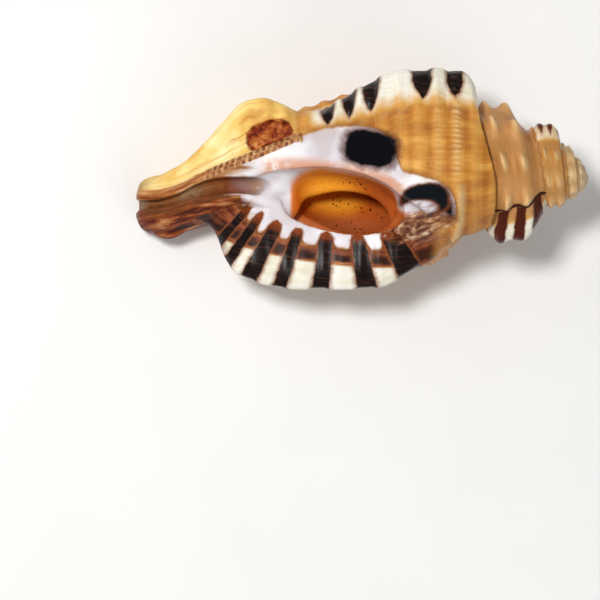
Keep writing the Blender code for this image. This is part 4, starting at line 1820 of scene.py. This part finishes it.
    def gloss(self, shown: Socket) -> Socket:
        """Make the enamel, the bars and the throat shine, and leave the outer layer silky.

        Args:
            shown: Where the enamel shows.

        Returns:
            The roughness.
        """
        add, mark = self.add, self.mark
        bars = add(Step.TIMES, add(Step.EASE, mark["bars"], -0.3, 0.3), 0.7)
        glazed = add(Step.LARGER, add(Step.LARGER, shown, bars), add(Step.EASE, mark["throat"], -0.5, 0.5))
        roughness = add(Step.RANGE, glazed, 0.0, 1.0, self.finish.silky, self.finish.glazed)
        grain = add(Step.TIMES, add(Step.TAKE, self.grain, 0.5), 0.12)
        blots = [add(Step.EASE, mark[name], -0.2, 0.4) for name in ("ink", "notch_ink")]
        inked = add(Step.LARGER, *blots)
        return add(Step.TAKE, add(Step.ADD, roughness, grain), add(Step.TIMES, inked, 0.05))

    def relief(self, shown: Socket) -> Socket:
        """Raise the growth lines, threads and grain where no glaze fills them.

        Args:
            shown: Where the enamel shows.

        Returns:
            The bent normal.
        """
        add = self.add
        height = add(Step.ADD, add(Step.TIMES, self.fine, 0.22), add(Step.TIMES, self.thread, 0.14))
        height = add(Step.ADD, height, add(Step.TIMES, self.grain, 0.08))
        smooth = add(Step.LARGER, shown, self.mask(self.mark["bars"], 0.3, 0.7))
        smooth = add(Step.LARGER, smooth, add(Step.TIMES, self.mark["rust"], 0.8))
        height = add(Step.TIMES, height, add(Step.TAKE, 1.0, smooth))
        return add(Step.BUMP, named={"Strength": 1.0, "Distance": MM, "Height": height})

    def paint(self) -> bpy.types.Material:
        """Lay all layers.

        Returns:
            The material.
        """
        outer, bank = self.canal_walls(self.varix_cream(self.hump_and_chink(self.outer_layer())))
        surface, shown = self.enamel(self.rusty_band(outer))
        surface = self.throat(self.groove(self.blotches(self.bars_and_mottle(surface))))
        finish = self.finish
        shader = self.add(Step.SHADER, named={
            "Base Color": self.ridge(surface, bank),
            "Roughness": self.gloss(shown), "Normal": self.relief(shown),
            "IOR": finish.index, "Coat Weight": finish.coat, "Coat Roughness": finish.coat_roughness,
            "Specular IOR Level": finish.specular})
        self.add(Step.OUTPUT, shader)
        return self.graph.material


@dataclass(frozen=True)
class FloorFinish:
    """White paint on board, rolled on matt, so it shows soft shadows and no reflection.

    Attributes:
        name: Name of the material.
        thin: Colour where the paint is thinnest.
        full: Colour where it is full.
        cloud_mm: Size of the clouds left by the roller.
        stipple_mm: Size of the roller's stipple.
        stipple_depth_mm: Depth of it.
        matt: Its roughness.
        specular: Strength of the mirrored light.
    """

    name: str = "painted_board_rolled_matt"
    thin: str = "#F1F0EE"
    full: str = "#F4F3F1"
    cloud_mm: float = 45.0
    stipple_mm: float = 0.9
    stipple_depth_mm: float = 0.05
    matt: float = 0.9
    specular: float = 0.2

    def build(self) -> bpy.types.Material:
        """Make the material.

        Returns:
            The material.
        """
        graph = Graph(self.name)
        add = graph.add
        place = add(Step.PLACE, output="Object")
        clouds = add(Step.NOISE, place, 1 / (self.cloud_mm * MM), 3.0)
        tone = add(Step.RAMP, clouds, stops=((0.3, self.thin), (0.7, self.full)))
        stipple = add(Step.NOISE, place, 1 / (self.stipple_mm * MM), 2.0)
        depth = self.stipple_depth_mm * MM
        bump = add(Step.BUMP, named={"Strength": 0.1, "Distance": depth, "Height": stipple})
        shader = add(Step.SHADER, named={"Base Color": tone, "Roughness": self.matt, "Normal": bump,
                                         "Specular IOR Level": self.specular})
        add(Step.OUTPUT, shader)
        return graph.material


# ---- the piece and the studio

@dataclass
class Shell:
    """The visible shell, placed in the CAD node's box.

    Attributes:
        form: Its form.
        finish: Its material.
        step_mm: Size of the skin's faces.
        roll_deg: Turn about X as it lies at rest.
        pitch_deg: Turn about Y as it lies at rest.
    """

    form: ShellForm = field(default_factory=ShellForm)
    finish: ShellFinish = field(default_factory=ShellFinish)
    step_mm: float = 0.53
    roll_deg: float = -0.17
    pitch_deg: float = -11.36

    def rest_turn(self) -> np.ndarray:
        """Give the turn from the shell frame to the way it lies, as a 3 by 3 matrix."""
        return np.array(Euler((math.radians(self.roll_deg), math.radians(self.pitch_deg), 0.0)).to_matrix())

    def build(self) -> bpy.types.Object:
        """Make the piece.

        Returns:
            The object, in metres in the row frame.
        """
        home, faces = SkinMaker(self.form, self.step_mm).skin()
        low, high = (np.array(corner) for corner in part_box(CAD_NODE))
        placed = home @ self.rest_turn().T * MM
        fit = min(1.0, ((high - low) / np.ptp(placed, axis=0)).min())
        placed = placed * fit
        middle = (placed.min(axis=0) + placed.max(axis=0)) / 2
        placed += (low + high) / 2 * (1, 1, 0) + low * (0, 0, 1) - [middle[0], middle[1], placed[:, 2].min()]
        mesh = bpy.data.meshes.new("shell_skin")
        mesh.from_pydata(placed.tolist(), [], faces.tolist())
        for name, values in Markings(self.form).read(home).items():
            kind, slot = ("FLOAT_VECTOR", "vector") if values.ndim == 2 else ("FLOAT", "value")
            made = mesh.attributes.new(name, kind, "POINT")
            made.data.foreach_set(slot, values.astype(np.float32).ravel())
        mesh.shade_smooth()
        mesh.materials.append(self.finish.build())
        piece = bpy.data.objects.new("triton_shell_skin", mesh)
        bpy.context.scene.collection.objects.link(piece)
        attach(piece, "root")
        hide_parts(CAD_NODE)
        return piece


@dataclass(frozen=True)
class Lamp:
    """One soft studio lamp.

    Attributes:
        name: Its name.
        place: Where it stands, in metres.
        side: Size of its square face.
        power: Its power in watts.
        mirrored: True if glossy surfaces show it.
    """

    name: str
    place: tuple[float, float, float]
    side: float
    power: float
    mirrored: bool = False

    def build(self, target: Vector) -> None:
        """Hang the lamp, turned to the target.

        Args:
            target: What it shines on.
        """
        data = bpy.data.lights.new(self.name, "AREA")
        data.size, data.energy = self.side, self.power
        lamp = bpy.data.objects.new(self.name, data)
        bpy.context.scene.collection.objects.link(lamp)
        lamp.location = self.place
        lamp.visible_glossy = self.mirrored
        lamp.rotation_euler = (target - lamp.location).to_track_quat("-Z", "Y").to_euler()


@dataclass
class Studio:
    """Floor, lamps, pale surroundings and camera.

    Attributes:
        finish: Material of the floor.
        lamps: The lamps.
        floor_side: Size of the floor in metres.
        room_light: Strength of the even light of the room.
        picture_mm: Width of what the camera sees at the shell.
        camera_away: Distance of the camera in metres.
        shell_right_mm: How far the shell's middle lies right of the picture's.
        shell_up_mm: How far it lies above it.
    """

    finish: FloorFinish = field(default_factory=FloorFinish)
    lamps: tuple[Lamp, ...] = (
        Lamp("key", (-0.36, 0.14, 0.88), 0.14, 3.9),
        Lamp("glint", (-0.36, 0.14, 0.88), 0.14, 2.7, True),
        Lamp("fill", (-0.60, 0.35, 0.35), 0.90, 1.6),
        Lamp("side", (0.30, -0.62, 0.55), 0.70, 2.0),
    )
    floor_side: float = 6.0
    room_light: float = 0.22
    picture_mm: float = 157.9
    camera_away: float = 0.9
    shell_right_mm: float = 16.7
    shell_up_mm: float = 31.6

    def build_floor(self) -> None:
        """Lay the floor under the shell."""
        half = self.floor_side / 2
        mesh = bpy.data.meshes.new("floor")
        corners = ((-half, -half, 0), (half, -half, 0), (half, half, 0), (-half, half, 0))
        mesh.from_pydata(corners, [], [range(4)])
        mesh.materials.append(self.finish.build())
        floor = bpy.data.objects.new("floor", mesh)
        bpy.context.scene.collection.objects.link(floor)

    def build_surroundings(self) -> None:
        """Fill the room with even pale light."""
        scene = bpy.context.scene
        scene.world = bpy.data.worlds.new("pale_room")
        scene.world.use_nodes = True
        background = scene.world.node_tree.nodes["Background"]
        background.inputs["Color"].default_value = linear("#FFFFFF")
        background.inputs["Strength"].default_value = self.room_light
        scene.view_settings.view_transform = "Standard"

    def build_camera(self, shell: Shell, middle: Vector) -> None:
        """Set up the camera, looking into the mouth.

        Args:
            shell: The shell, whose way of lying gives the view.
            middle: Middle of its box.
        """
        turn = Matrix(shell.rest_turn().tolist())
        right, up, toward = (turn @ Vector(axis) for axis in ((1, 0, 0), (0, 1, 0), (0, 0, 1)))
        data = bpy.data.cameras.new("camera")
        data.lens = data.sensor_width * self.camera_away / (self.picture_mm * MM)
        camera = bpy.data.objects.new("camera", data)
        bpy.context.scene.collection.objects.link(camera)
        target = middle - right * self.shell_right_mm * MM - up * self.shell_up_mm * MM
        camera.matrix_world = Matrix.Translation(target + toward * self.camera_away) @ turn.to_4x4()
        bpy.context.scene.camera = camera

    def build(self, shell: Shell) -> None:
        """Set up everything round the shell.

        Args:
            shell: The shell.
        """
        low, high = (Vector(corner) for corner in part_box(CAD_NODE))
        middle = (low + high) / 2
        self.build_floor()
        self.build_surroundings()
        for lamp in self.lamps:
            lamp.build(middle)
        self.build_camera(shell, middle)


def main() -> None:
    """Build the shell and the studio."""
    logging.basicConfig(level=logging.INFO, format="%(name)s: %(message)s")
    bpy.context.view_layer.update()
    shell = Shell()
    piece = shell.build()
    LOG.info("%s: %d vertices, %d faces", piece.name, len(piece.data.vertices), len(piece.data.polygons))
    studio = Studio()
    studio.build(shell)
    LOG.info("studio: floor, %d lamps and camera", len(studio.lamps))
    bpy.context.view_layer.update()


if __name__ == "__main__":
    main()
